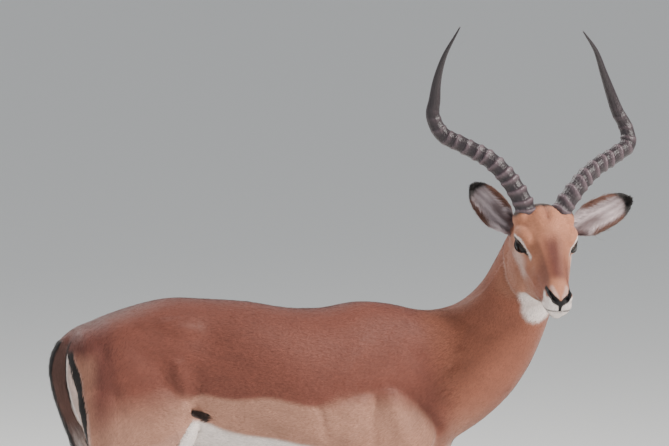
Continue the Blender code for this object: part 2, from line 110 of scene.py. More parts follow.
def section_points(section, sides):
    """The outline of one section, as points round it."""
    x, y, z, heading, tilt, above, below, half, square = section
    turn, rise = math.radians(heading), math.radians(tilt)
    across = np.array([-math.sin(turn), math.cos(turn), 0.0])
    axis = np.array([-math.cos(turn) * math.cos(rise), -math.sin(turn) * math.cos(rise), math.sin(rise)])
    angle = 2 * math.pi * np.arange(sides) / sides
    c, s = np.cos(angle), np.sin(angle)
    side = half * np.sign(c) * np.abs(c) ** (2 / square)
    lift = np.where(s > 0, above, below) * np.sign(s) * np.abs(s) ** (2 / square)
    return np.array([x, y, z]) + side[:, None] * across + lift[:, None] * axis


def mesh_object(name, points, faces):
    mesh = bpy.data.meshes.new(name)
    mesh.from_pydata([tuple(p) for p in points], [], faces)
    solid = bmesh.new()
    solid.from_mesh(mesh)
    bmesh.ops.recalc_face_normals(solid, faces=solid.faces)
    solid.to_mesh(mesh)
    solid.free()
    made = bpy.data.objects.new(name, mesh)
    bpy.context.scene.collection.objects.link(made)
    return made


def ring_faces(rings, sides):
    """Faces between rings of points, with a cap on each end."""
    faces = [
        (r * sides + k, r * sides + (k + 1) % sides, (r + 1) * sides + (k + 1) % sides, (r + 1) * sides + k)
        for r in range(rings - 1)
        for k in range(sides)
    ]
    return faces + [tuple(range(sides)), tuple((rings - 1) * sides + k for k in range(sides))]


def tube(name, sections, sides, per_gap=3):
    """A closed skin stretched over the sections, with a flat cap on each end."""
    rows = smooth_rows(sections, per_gap)
    points = np.vstack([section_points(row, sides) for row in rows])
    return mesh_object(name, points, ring_faces(len(rows), sides))


def ellipsoid(name, centre, radii, turn=0.0, pitch=0.0):
    """A muscle or bone mass. turn and pitch are degrees about Z and then about Y."""
    bpy.ops.mesh.primitive_uv_sphere_add(segments=24, ring_count=14, radius=1.0)
    made = bpy.context.object
    made.name = name
    spin = Matrix.Rotation(math.radians(turn), 4, "Z") @ Matrix.Rotation(math.radians(pitch), 4, "Y")
    made.data.transform(Matrix.Translation(centre) @ spin @ Matrix.Diagonal((*radii, 1.0)))
    return made


def head_matrix():
    """Carries the head's own frame into the model."""
    turn = Matrix.Rotation(HEAD_TURN, 4, "Z")
    pitch = Matrix.Rotation(HEAD_PITCH, 4, "Y")
    roll = Matrix.Rotation(HEAD_ROLL, 4, "X")
    return Matrix.Translation(EYE_MIDPOINT) @ turn @ pitch @ roll


TORSO = [
    trunk_section(-0.402, 0.825, 0.745, 0.030),
    trunk_section(-0.386, 0.850, 0.690, 0.064, 0.6),
    trunk_section(-0.345, 0.871, 0.645, 0.088, 0.6),
    trunk_section(-0.275, 0.896, 0.622, 0.098, 0.62),
    trunk_section(-0.195, 0.915, 0.622, 0.098, 0.62),
    trunk_section(-0.110, 0.912, 0.610, 0.106, 0.52),
    trunk_section(-0.020, 0.904, 0.582, 0.121, 0.48),
    trunk_section(0.060, 0.890, 0.558, 0.129, 0.45),
    trunk_section(0.130, 0.889, 0.543, 0.123, 0.43),
    trunk_section(0.200, 0.900, 0.534, 0.107, 0.42),
    trunk_section(0.270, 0.894, 0.538, 0.094, 0.42),
    trunk_section(0.325, 0.881, 0.556, 0.087, 0.44),
    neck_section((0.385, 0.000, 0.745), 0, 86, 0.272, 0.081),
    neck_section((0.438, -0.002, 0.772), 0, 79, 0.246, 0.074),
    neck_section((0.478, -0.007, 0.806), -4, 71, 0.226, 0.069),
    neck_section((0.506, -0.017, 0.845), -12, 64, 0.205, 0.064),
    neck_section((0.526, -0.030, 0.890), -26, 58, 0.186, 0.061),
    neck_section((0.541, -0.046, 0.938), -46, 52, 0.166, 0.059),
    neck_section((0.551, -0.062, 0.984), -68, 47, 0.148, 0.057),
    neck_section((0.556, -0.076, 1.022), -86, 44, 0.126, 0.050),
]


def torso():
    masses = [tube("torso", TORSO, TORSO_SIDES)]
    for side in (-1, 1):
        masses += [
            ellipsoid("haunch", (-0.280, side * 0.056, 0.755), (0.105, 0.052, 0.105), pitch=-20),
            ellipsoid("rump", (-0.350, side * 0.036, 0.770), (0.052, 0.042, 0.070)),
            ellipsoid("hip", (-0.165, side * 0.071, 0.848), (0.070, 0.024, 0.034), pitch=12),
            ellipsoid("shoulder", (0.232, side * 0.054, 0.690), (0.098, 0.050, 0.150), pitch=-22),
        ]
    masses += [
        ellipsoid("brisket", (0.312, 0.0, 0.630), (0.092, 0.066, 0.086)),
        ellipsoid("sheath", (-0.085, 0.0, 0.605), (0.062, 0.014, 0.018), pitch=17),
        ellipsoid("scrotum", (-0.262, 0.0, 0.604), (0.027, 0.025, 0.040)),
    ]
    return masses


HEAD = [
    trunk_section(-0.118, 0.010, -0.055, 0.034),
    trunk_section(-0.106, 0.036, -0.086, 0.050),
    trunk_section(-0.078, 0.060, -0.104, 0.058),
    trunk_section(-0.045, 0.066, -0.119, 0.060, 0.62),
    trunk_section(-0.010, 0.058, -0.119, 0.056, 0.64, 2.3),
    trunk_section(0.022, 0.043, -0.111, 0.048, 0.62, 2.2),
    trunk_section(0.052, 0.028, -0.098, 0.040, 0.56),
    trunk_section(0.082, 0.014, -0.088, 0.0325, 0.52),
    trunk_section(0.110, 0.001, -0.081, 0.0290, 0.48),
    trunk_section(0.132, -0.009, -0.079, 0.0285, 0.48),
    trunk_section(0.147, -0.018, -0.076, 0.0270, 0.5),
    trunk_section(0.157, -0.028, -0.070, 0.0205, 0.5),
    trunk_section(0.162, -0.036, -0.058, 0.0090, 0.5),
]


def head():
    masses = [tube("skull", HEAD, HEAD_SIDES)]
    for side in (-1, 1):
        masses += [
            ellipsoid("brow", (-0.008, side * 0.046, 0.020), (0.034, 0.019, 0.020), turn=side * -16),
            ellipsoid("cheek", (-0.040, side * 0.039, -0.066), (0.062, 0.024, 0.052), turn=side * -5),
            ellipsoid("horn root", (-0.048, side * 0.042, 0.036), (0.029, 0.022, 0.026)),
            ellipsoid("nostril", (0.142, side * 0.0165, -0.032), (0.018, 0.0120, 0.014)),
            ellipsoid("lip", (0.134, side * 0.0165, -0.053), (0.024, 0.0140, 0.013)),
        ]
    masses.append(ellipsoid("chin", (0.130, 0.0, -0.073), (0.024, 0.0155, 0.012)))
    for mass in masses:
        mass.data.transform(head_matrix())
    return masses


def foreleg(side, step):
    """side is -1 for the right leg. step moves the hoof forward, and the leg above it by its share."""

    def at(z, back, front, y, half, square=2.2):
        share = step * max(0.0, 1.0 - z / 0.60)
        return leg_section(z, back + share, front + share, side * y, half, square)

    sections = [
        at(0.790, 0.190, 0.260, 0.050, 0.014),
        at(0.735, 0.165, 0.310, 0.060, 0.026),
        at(0.670, 0.138, 0.345, 0.069, 0.034),
        at(0.610, 0.128, 0.340, 0.073, 0.036),
        at(0.560, 0.138, 0.290, 0.074, 0.034),
        at(0.525, 0.148, 0.248, 0.073, 0.029),
        at(0.480, 0.160, 0.233, 0.070, 0.0255),
        at(0.420, 0.173, 0.225, 0.068, 0.0215),
        at(0.350, 0.181, 0.219, 0.065, 0.0170),
        at(0.312, 0.180, 0.222, 0.064, 0.0190),
        at(0.288, 0.181, 0.221, 0.064, 0.0185),
        at(0.260, 0.186, 0.215, 0.063, 0.0130),
        at(0.190, 0.188, 0.213, LEG_SPREAD, 0.0112),
        at(0.128, 0.187, 0.213, LEG_SPREAD, 0.0120),
        at(0.098, 0.180, 0.219, LEG_SPREAD, 0.0165),
        at(0.078, 0.186, 0.221, LEG_SPREAD, 0.0150),
        at(0.056, 0.193, 0.229, LEG_SPREAD, 0.0155),
        at(0.030, 0.197, 0.240, LEG_SPREAD, 0.0170),
    ]
    return tube("foreleg", sections, LEG_SIDES)


def hindleg(side, step):
    def at(z, back, front, y, half, square=2.2):
        share = step * max(0.0, 1.0 - z / 0.66)
        return leg_section(z, back + share, front + share, side * y, half, square)

    sections = [
        at(0.800, -0.340, -0.220, 0.056, 0.022),
        at(0.745, -0.385, -0.175, 0.068, 0.036),
        at(0.690, -0.386, -0.146, 0.074, 0.041),
        at(0.640, -0.372, -0.146, 0.076, 0.042),
        at(0.590, -0.354, -0.184, 0.076, 0.038),
        at(0.545, -0.342, -0.220, 0.075, 0.032),
        at(0.490, -0.345, -0.262, 0.073, 0.025),
        at(0.440, -0.362, -0.294, 0.070, 0.0195),
        at(0.400, -0.381, -0.314, 0.067, 0.0165),
        at(0.370, -0.391, -0.325, 0.065, 0.0175),
        at(0.335, -0.381, -0.335, 0.064, 0.0165),
        at(0.295, -0.371, -0.337, 0.063, 0.0130),
        at(0.210, -0.362, -0.333, LEG_SPREAD, 0.0115),
        at(0.135, -0.355, -0.326, LEG_SPREAD, 0.0125),
        at(0.102, -0.357, -0.317, LEG_SPREAD, 0.0170),
        at(0.080, -0.350, -0.314, LEG_SPREAD, 0.0155),
        at(0.056, -0.341, -0.304, LEG_SPREAD, 0.0160),
        at(0.030, -0.337, -0.294, LEG_SPREAD, 0.0170),
    ]
    return tube("hindleg", sections, LEG_SIDES)


FORE_STEP = {"right": 0.0, "left": 0.045}
HIND_STEP = {"right": 0.0, "left": 0.030}
FORE_TOE_X = 0.192
HIND_TOE_X = -0.341

TAIL = [
    leg_section(0.858, -0.384, -0.350, 0.0, 0.013),
    leg_section(0.836, -0.410, -0.380, 0.0, 0.015),
    leg_section(0.808, -0.425, -0.396, 0.0, 0.016),
    leg_section(0.775, -0.430, -0.400, 0.0, 0.017),
    leg_section(0.735, -0.423, -0.394, 0.0, 0.018),
    leg_section(0.690, -0.408, -0.380, 0.0, 0.018),
    leg_section(0.640, -0.388, -0.362, 0.0, 0.017),
    leg_section(0.590, -0.371, -0.347, 0.0, 0.016),
    leg_section(0.550, -0.361, -0.341, 0.0, 0.013),
    leg_section(0.522, -0.355, -0.342, 0.0, 0.007),
]

Ear = namedtuple("Ear", "base tip facing length width")

EARS = {
    "right": Ear((-0.066, -0.054, -0.002), (-0.150, -0.128, 0.058), (0.80, -0.34, 0.42), 0.127, 0.057),
    "left": Ear((-0.066, 0.054, 0.000), (-0.118, 0.194, 0.044), (0.85, 0.02, 0.45), 0.158, 0.059),
}
EAR_ROWS = 36
EAR_COLUMNS = 27
EAR_THICKNESS = 0.0044


def ear_outline(share):
    """Half the width of the opened ear at a share of its length, where its widest is 1."""
    rise = 0.52 + 0.48 * math.sin(math.pi * min(0.5, share / 0.9 + 0.02))
    return rise * math.sqrt(max(0.0, 1.0 - max(0.0, (share - 0.45) / 0.55) ** 2.4)) + 0.03


def ear(name, spec):
    """A leaf-shaped cup: rolled nearly into a tube at its root and open along its front."""
    base, tip = Vector(spec.base), Vector(spec.tip)
    along = (tip - base).normalized()
    facing = Vector(spec.facing)
    facing = (facing - facing.dot(along) * along).normalized()
    across = along.cross(facing)
    points = []
    for r in range(EAR_ROWS):
        share = math.sin(0.5 * math.pi * r / (EAR_ROWS - 1)) ** 0.9
        arc = 0.5 * spec.width * 1.25 * ear_outline(share)
        wrap = math.radians(150 - 95 * min(1.0, share / 0.35) ** 0.8)
        radius = arc / wrap
        for c in range(EAR_COLUMNS):
            a = wrap * (2 * c / (EAR_COLUMNS - 1) - 1)
            lift = radius * (1 - math.cos(a)) - min(radius, 0.016)
            middle = base + along * (share * spec.length)
            points.append(middle + across * (radius * math.sin(a)) + facing * lift)
    faces = [
        (first, first + 1, first + EAR_COLUMNS + 1, first + EAR_COLUMNS)
        for r in range(EAR_ROWS - 1)
        for first in range(r * EAR_COLUMNS, (r + 1) * EAR_COLUMNS - 1)
    ]
    made = mesh_object(name, points, faces)
    made.data.transform(head_matrix())
    shell = made.modifiers.new("Thickness", "SOLIDIFY")
    shell.thickness = EAR_THICKNESS
    shell.offset = 0.0
    return applied(made)


Bend = namedtuple("Bend", "x y z radius")

HORNS = {
    "right": [
        Bend(-0.036, -0.031, 0.024, 0.0205),
        Bend(-0.060, -0.040, 0.061, 0.0200),
        Bend(-0.078, -0.054, 0.085, 0.0190),
        Bend(-0.108, -0.082, 0.114, 0.0180),
        Bend(-0.130, -0.104, 0.127, 0.0174),
        Bend(-0.166, -0.152, 0.140, 0.0166),
        Bend(-0.194, -0.195, 0.154, 0.0156),
        Bend(-0.213, -0.2115, 0.186, 0.0138),
        Bend(-0.220, -0.2095, 0.214, 0.0118),
        Bend(-0.224, -0.209, 0.243, 0.0095),
        Bend(-0.224, -0.202, 0.302, 0.0056),
        Bend(-0.215, -0.178, 0.381, 0.0012),
    ],
    "left": [
        Bend(-0.036, 0.031, 0.024, 0.0205),
        Bend(-0.058, 0.040, 0.058, 0.0200),
        Bend(-0.076, 0.061, 0.083, 0.0190),
        Bend(-0.099, 0.086, 0.102, 0.0180),
        Bend(-0.123, 0.116, 0.117, 0.0174),
        Bend(-0.150, 0.158, 0.130, 0.0166),
        Bend(-0.174, 0.189, 0.144, 0.0156),
        Bend(-0.193, 0.187, 0.165, 0.0142),
        Bend(-0.209, 0.1675, 0.197, 0.0126),
        Bend(-0.220, 0.153, 0.229, 0.0106),
        Bend(-0.223, 0.133, 0.274, 0.0078),
        Bend(-0.222, 0.108, 0.329, 0.0046),
        Bend(-0.215, 0.075, 0.375, 0.0012),
    ],
}
RIDGED_SHARE = 0.66  # of the horn's length from its base


def applied(made):
    """The object with its modifiers made real."""
    view = bpy.context.evaluated_depsgraph_get()
    mesh = bpy.data.meshes.new_from_object(made.evaluated_get(view))
    made.modifiers.clear()
    made.data = mesh
    return made


def remove(made):
    bpy.data.objects.remove(made, do_unlink=True)


def joined(name, masses):
    """All the masses in one mesh, still passing through each other."""
    whole = bmesh.new()
    for mass in masses:
        whole.from_mesh(mass.data)
        remove(mass)
    mesh = bpy.data.meshes.new(name)
    whole.to_mesh(mesh)
    whole.free()
    made = bpy.data.objects.new(name, mesh)
    bpy.context.scene.collection.objects.link(made)
    return made


# ---------------------------------------------------------------------------------------------
# Arrays
# ---------------------------------------------------------------------------------------------
HEAD_FRAME = np.array(head_matrix())


def to_head(points):
    """Points of the anatomical frame in the head's own frame."""
    return (points - HEAD_FRAME[:3, 3]) @ HEAD_FRAME[:3, :3]


def from_head(points):
    return np.asarray(points) @ HEAD_FRAME[:3, :3].T + HEAD_FRAME[:3, 3]


def vertex_array(mesh, kind="co"):
    values = np.empty(len(mesh.vertices) * 3, np.float32)
    mesh.vertices.foreach_get(kind, values)
    return values.reshape(-1, 3).astype(float)


def move_to(mesh, points):
    mesh.vertices.foreach_set("co", points.astype(np.float32).ravel())
    mesh.update()


def ramp(low, high, value):
    """0 below low, 1 above high, and smooth between."""
    t = np.clip((value - low) / (high - low), 0.0, 1.0)
    return t * t * (3 - 2 * t)


def spot(value, middle, reach):
    """1 at the middle, falling off as a bell."""
    return np.exp(-(((value - middle) / reach) ** 2))


def unit(vectors):
    return vectors / np.maximum(np.linalg.norm(vectors, axis=-1, keepdims=True), 1e-9)


def path_distance(path, points):
    """How far each point is from a line through the path, and the share of the way along it."""
    path = np.array(path, float)
    if len(path) == 1:
        return np.linalg.norm(points - path[0], axis=1), np.zeros(len(points))
    steps = np.linalg.norm(np.diff(path, axis=0), axis=1)
    done = np.concatenate([[0.0], np.cumsum(steps)])
    best, share = np.full(len(points), 9.0), np.zeros(len(points))
    for i, step in enumerate(steps):
        way = (path[i + 1] - path[i]) / step
        t = np.clip((points - path[i]) @ way, 0.0, step)
        gap = np.linalg.norm(points - path[i] - t[:, None] * way, axis=1)
        nearer = gap < best
        best[nearer], share[nearer] = gap[nearer], (done[i] + t[nearer]) / done[-1]
    return best, share


def flipped(path):
    return [(x, -y, z) for x, y, z in path]


# ---------------------------------------------------------------------------------------------
# Skin
# ---------------------------------------------------------------------------------------------
# Hollows (negative) and swellings of the skin: a line, its half width and its depth.
Relief = namedtuple("Relief", "path width depth")
JAW_EDGE = [(-0.0965, 0.0621, -0.0487), (-0.0556, 0.0678, -0.0718), (-0.0380, 0.0655, -0.0918),
            (-0.0172, 0.0537, -0.1115), (-0.0093, 0.0460, -0.1186)]
HEAD_RELIEF = [
    Relief([(0.141, 0.0230, -0.0190), (0.152, 0.0180, -0.0255), (0.160, 0.0120, -0.0320)], 0.0036, -0.0100),
    Relief([(0.126, 0.0200, -0.0140), (0.140, 0.0130, -0.0190), (0.150, 0.0050, -0.0260)], 0.0060, 0.0012),
    Relief([(0.161, 0.0000, -0.0585), (0.156, 0.0120, -0.0605), (0.142, 0.0225, -0.0623)], 0.0015, -0.0030),
    Relief([(0.142, 0.0225, -0.0623), (0.120, 0.0285, -0.0630), (0.104, 0.0300, -0.0600)], 0.0014, -0.0026),
    Relief([(-0.034, 0.0180, 0.0640)], 0.0120, 0.0034),
    Relief([(-0.012, 0.0300, 0.0500), (0.006, 0.0240, 0.0420)], 0.0070, -0.0014),
    Relief([(0.150, 0.0130, -0.0470)], 0.0095, 0.0014),
    Relief([(0.030, 0.0420, -0.0060), (0.050, 0.0370, -0.0140)], 0.0080, -0.0026),
    Relief([(-0.030, 0.0580, -0.0240), (0.030, 0.0490, -0.0310), (0.070, 0.0370, -0.0400)], 0.0080, 0.0026),
    Relief([(0.040, 0.0440, -0.0500), (0.026, 0.0450, -0.0850)], 0.0080, -0.0024),
    Relief([(-0.048, 0.0540, 0.0140)], 0.0130, -0.0040),
    Relief([(0.030, 0.0240, 0.0300), (0.118, 0.0170, -0.0070)], 0.0060, 0.0014),
    Relief([(0.080, 0.0330, -0.0300), (0.120, 0.0270, -0.0400)], 0.0080, -0.0016),
    Relief(JAW_EDGE, 0.0040, -0.0028),
]
MIDDLE_RELIEF = [
    Relief([(0.1590, 0.0, -0.0400), (0.1610, 0.0, -0.0540)], 0.0014, -0.0018),
    Relief([(0.0200, 0.0, 0.0420), (0.0700, 0.0, 0.0180)], 0.0100, -0.0012),
    Relief([(-0.052, 0.0, 0.0680), (-0.016, 0.0, 0.0600)], 0.0060, -0.0042),
]
FLANK_SLOT = [(-0.155, 0.091, 0.692), (-0.124, 0.085, 0.680)]
THIGH_EDGE = [(-0.1640, 0.098, 0.668), (-0.181, 0.1065, 0.641), (-0.196, 0.109, 0.626)]
ARM_TOP = [(0.152, 0.115, 0.712), (0.192, 0.109, 0.728), (0.222, 0.106, 0.731), (0.255, 0.098, 0.738),
           (0.292, 0.097, 0.716), (0.322, 0.090, 0.684), (0.355, 0.072, 0.648)]
BODY_RELIEF = [
    Relief([(0.420, 0.063, 0.860), (0.398, 0.075, 0.810), (0.385, 0.078, 0.770)], 0.0070, -0.0050),
    Relief([(0.352, 0.082, 0.743), (0.372, 0.074, 0.700)], 0.0100, -0.0030),
    Relief([(0.092, 0.126, 0.705), (0.105, 0.123, 0.674), (0.112, 0.116, 0.640)], 0.0080, -0.0045),
    Relief(ARM_TOP, 0.0115, -0.0060),
    Relief([(0.160, 0.113, 0.690), (0.192, 0.109, 0.700), (0.160, 0.112, 0.640)], 0.0170, 0.0075),
    Relief([(0.245, 0.103, 0.712), (0.262, 0.103, 0.680), (0.275, 0.103, 0.640)], 0.0200, 0.0085),
    Relief([(0.218, 0.108, 0.715), (0.213, 0.108, 0.670), (0.216, 0.109, 0.620)], 0.0090, -0.0045),
    Relief([(0.315, 0.095, 0.665), (0.300, 0.095, 0.620)], 0.0140, 0.0050),
    Relief([(0.315, 0.092, 0.790), (0.280, 0.100, 0.850)], 0.0160, -0.0040),
    Relief([(0.200, 0.100, 0.830), (0.150, 0.112, 0.760)], 0.0200, 0.0040),
    Relief([(-0.125, 0.092, 0.832)], 0.0420, -0.0065),
    Relief([(-0.338, 0.078, 0.830), (-0.318, 0.100, 0.740), (-0.300, 0.104, 0.650)], 0.0110, -0.0032),
    Relief(FLANK_SLOT, 0.0070, -0.0130),
    Relief(THIGH_EDGE, 0.0050, -0.0080),
    Relief([(-0.190, 0.098, 0.790), (-0.176, 0.104, 0.740), (-0.168, 0.102, 0.700)], 0.0120, 0.0075),
    Relief([(-0.146, 0.098, 0.775), (-0.139, 0.094, 0.728), (-0.143, 0.084, 0.700)], 0.0130, -0.0042),
    Relief([(-0.372, 0.066, 0.480), (-0.380, 0.066, 0.400)], 0.0050, -0.0016),
]


def carve(points, normals, reliefs, both_sides=True):
    for relief in reliefs:
        for path in [relief.path, flipped(relief.path)] if both_sides else [relief.path]:
            gap, _ = path_distance(path, points)
            near = gap < 3.5 * relief.width
            depth = relief.depth * np.exp(-((gap[near] / relief.width) ** 2))
            points[near] += normals[near] * depth[:, None]


def fused(name, masses, voxel, passes):
    """One closed skin round all the masses, softened where they meet."""
    made = joined(name, masses)
    grid = made.modifiers.new("Fuse", "REMESH")
    grid.mode = "VOXEL"
    grid.voxel_size = voxel
    soften = made.modifiers.new("Soften", "SMOOTH")
    soften.factor = 0.5
    soften.iterations = passes
    return applied(made)


def weighted(made, name, weights):
    """A vertex group with the given weights, in steps of a twentieth."""
    group = made.vertex_groups.new(name=name)
    steps = np.round(np.clip(weights, 0, 1) * 20).astype(int)
    for step in range(1, 21):
        group.add(np.nonzero(steps == step)[0].tolist(), step / 20, "REPLACE")
    return group


def near_tree(made):
    return BVHTree.FromObject(made, bpy.context.evaluated_depsgraph_get())


def tree_gap(tree, points):
    return np.array([tree.find_nearest(p)[3] for p in points])


EYE_AXIS = unit(np.array([0.50, -0.86, 0.08]))
EYE_LONG = np.array([0.84, 0.462, -0.283])
LID_LONG, LID_UP, LID_DOWN = 60.0, 21.0, 30.0  # degrees from the eye's axis to the edge of its lids


def eye_frame(side):
    """Centre, outward axis, axis to the front corner and upward axis of an eye, in the head's frame."""
    flip = np.array([1.0, -side, 1.0])
    outward = EYE_AXIS * flip
    long = EYE_LONG * flip
    long = unit(long - (long @ outward) * outward)
    upward = np.cross(outward, long)
    centre = np.array([EYE_CENTRE.x, side * EYE_CENTRE.y, EYE_CENTRE.z])
    return centre, outward, long, upward * np.sign(upward[2])


def lid_edge(turn):
    """Degrees from the eye's axis to the lids' edge, in the direction `turn` round it."""
    high = np.where(np.sin(turn) > 0, LID_UP, LID_DOWN)
    return ((np.abs(np.cos(turn)) / LID_LONG) ** 1.6 + (np.abs(np.sin(turn)) / high) ** 1.6) ** (-1 / 1.6)


def open_socket(head_points, side):
    """Sinks the skin inside the lids' opening and lays it over the ball round it."""
    centre, outward, long, upward = eye_frame(side)
    away = head_points - centre
    reach = np.linalg.norm(away, axis=1)
    way = away / np.maximum(reach, 1e-9)[:, None]
    angle = np.degrees(np.arccos(np.clip(way @ outward, -1, 1)))
    turn = np.arctan2(way @ upward, way @ long)
    near = 1 - ramp(2.0 * EYE_RADIUS, 2.4 * EYE_RADIUS, reach)
    opened = (1 - ramp(0.93, 1.0, angle / lid_edge(turn))) * near
    upper = np.clip(np.sin(turn), 0, 1) * (1 - ramp(0, 40, angle - lid_edge(turn)))
    cover = EYE_RADIUS + 0.0012 + 0.0012 * upper
    raised = np.maximum(reach, cover)
    new = reach + (raised - reach) * (1 - ramp(68, 95, angle)) * near
    new += (np.minimum(reach, EYE_RADIUS - 0.0030) - new) * opened
    return centre + way * new[:, None]


# Where the head's skin needs the finest grid: a point of the head's frame and a reach.
FINE_SPOTS = [
    ((0.008, 0.0530, 0.006), 0.028),
    ((0.140, 0.0180, -0.0300), 0.020),
    ((0.150, 0.0060, -0.056), 0.016),
]


def refine(skin):
    """Splits the skin's edges into three about the eyes, nostrils and mouth."""
    grid = bmesh.new()
    grid.from_mesh(skin.data)
    points = to_head(vertex_array(skin.data))
    near = np.zeros(len(points), bool)
    for spot_point, reach in FINE_SPOTS:
        for side in (-1, 1):
            near |= np.linalg.norm(points - np.array(spot_point) * (1, side, 1), axis=1) < reach
    edges = [e for e in grid.edges if near[e.verts[0].index] and near[e.verts[1].index]]
    bmesh.ops.subdivide_edges(grid, edges=edges, cuts=2, use_grid_fill=True)
    bmesh.ops.triangulate(grid, faces=[f for f in grid.faces if len(f.verts) > 3])
    grid.to_mesh(skin.data)
    grid.free()


def regions_of(points, local, trees):
    """The number in REGIONS of each point of the skin."""
    region = np.full(len(points), REGIONS.index("trunk"))
    region[points[:, 0] + 0.176 * (points[:, 2] - 0.72) > 0.398] = REGIONS.index("neck")
    on_head = (local[:, 0] > -0.088) & (local[:, 2] > -0.118) & (np.abs(local[:, 1]) < 0.085)
    region[on_head & (region == REGIONS.index("neck"))] = REGIONS.index("head")
    region[points[:, 2] < np.where(points[:, 0] > 0, 0.600, 0.640)] = REGIONS.index("legs")
    region[(points[:, 2] > 0.535) & (np.abs(points[:, 1]) < 0.036)] = REGIONS.index("trunk")
    region[(points[:, 2] > 0.535) & (points[:, 0] > -0.15) & (points[:, 0] < 0.11)] = REGIONS.index("trunk")
    rear = np.nonzero((points[:, 0] < -0.33) & (np.abs(points[:, 1]) < 0.035) & (points[:, 2] > 0.5))[0]
    tail = tree_gap(trees["tail"], points[rear]) < 0.004
    region[rear[tail & ((points[rear, 0] < -0.405) | (points[rear, 2] < 0.80))]] = REGIONS.index("tail")
    for name in SIDES:
        region[trees[f"on_{name}"]] = REGIONS.index(f"ear_{name}")
    return region


def make_skin():
    dock = tube("tail", TAIL, LEG_SIDES, 2)
    pinnae = {name: ear("ear", EARS[name]) for name in SIDES}
    trees = {"tail": near_tree(dock)}
    for name in SIDES:
        trees[f"ear_{name}"] = near_tree(pinnae[name])
    limbs = [leg(side, step[name]) for leg, step in ((foreleg, FORE_STEP), (hindleg, HIND_STEP))
             for name, side in SIDES.items()]
    body = fused("body", torso() + limbs + [dock], 0.0042, 14)
    skull = fused("skull", head(), 0.0021, 9)
    whole = fused("skin", [body, skull, *pinnae.values()], 0.0021, 3)

    points = vertex_array(whole.data)
    local = to_head(points)
    join = spot(local[:, 0], -0.105, 0.026) * (np.abs(local[:, 1]) < 0.075) * (np.abs(local[:, 2]) < 0.16)
    join *= 1 - ramp(0.004, 0.016, local[:, 2]) * ramp(0.040, 0.052, np.abs(local[:, 1]))
    weighted(whole, "join", join)
    soften = whole.modifiers.new("Blend", "SMOOTH")
    soften.vertex_group, soften.factor, soften.iterations = "join", 0.5, 30
    applied(whole)
    fine = (local[:, 0] > -0.10) & (np.abs(local[:, 1]) < 0.26) & (np.abs(local[:, 2]) < 0.125)
    weighted(whole, "coarse", np.where(fine, 0.0, 1.0))
    thin = whole.modifiers.new("Thin out", "DECIMATE")
    thin.ratio = SKIN_TRIANGLES / (2 * len(whole.data.polygons))
    thin.vertex_group = "coarse"
    thin.vertex_group_factor = 6.0
    thin.use_collapse_triangulate = True
    applied(whole)
    refine(whole)

    points, normals = vertex_array(whole.data), vertex_array(whole.data, "normal")
    local, local_normals = to_head(points), normals @ HEAD_FRAME[:3, :3]
    body_part = local[:, 0] < -0.06
    inset = np.where(body_part, 0.0026, 0.0010)
    ears = np.zeros(len(points), bool)
    near_ears = (local[:, 0] > -0.22) & (local[:, 0] < -0.05) & (np.abs(local[:, 1]) > 0.052)
    for name in SIDES:
        gap = np.full(len(points), 9.0)
        gap[near_ears] = tree_gap(trees[f"ear_{name}"], points[near_ears])
        trees[f"on_{name}"] = gap < 0.0022
        ears |= gap < 0.0022
    inset = np.where(ears, 0.0001, inset)
    inset = np.where(points[:, 2] < 0.45, 0.0012, inset)
    region = regions_of(points, local, trees)
    points -= normals * inset[:, None]
    carve(points, normals, BODY_RELIEF)
    local = to_head(points)
    near = (local[:, 0] > -0.12) & (local[:, 2] > -0.16)
    some = local[near]
    carve(some, local_normals[near], HEAD_RELIEF)
    carve(some, local_normals[near], MIDDLE_RELIEF, False)
    for side in SIDES.values():
        some = open_socket(some, side)
    points[near] = from_head(some)
    points[:, 2] = np.maximum(points[:, 2], HOOF_HEIGHT - 0.004)
    move_to(whole.data, points)
    return smooth(whole), region


# ---------------------------------------------------------------------------------------------
# Eyes, horns and hooves
# ---------------------------------------------------------------------------------------------
def smooth(made):
    made.data.polygons.foreach_set("use_smooth", [True] * len(made.data.polygons))
    return made


def paint(made, colours, name="Coat colour"):
    """Linear colours, one for each vertex."""
    layer = made.data.attributes.new(name, "FLOAT_COLOR", "POINT")
    rgba = np.ones((len(colours), 4), np.float32)
    rgba[:, :3] = colours
    layer.data.foreach_set("color", rgba.ravel())


def eyeball(name, side):
    bpy.ops.mesh.primitive_uv_sphere_add(segments=96, ring_count=64, radius=EYE_RADIUS)
    made = bpy.context.object
    made.name = name
    centre, outward, long, upward = eye_frame(side)
    way = unit(vertex_array(made.data))
    angle = np.degrees(np.arccos(np.clip(way @ outward, -1, 1)))
    level = unit(long + 0.33 * upward)
    pupil = np.hypot((way @ level) / 0.40, (way @ np.cross(outward, level)) / 0.17)
    iris = mixed(IRIS, PUPIL, ramp(30, 45, angle))
    colour = mixed(PUPIL, iris, ramp(0.9, 1.1, pupil))
    paint(made, colour)
    made.data.transform(head_matrix() @ Matrix.Translation(centre))
    return smooth(made)


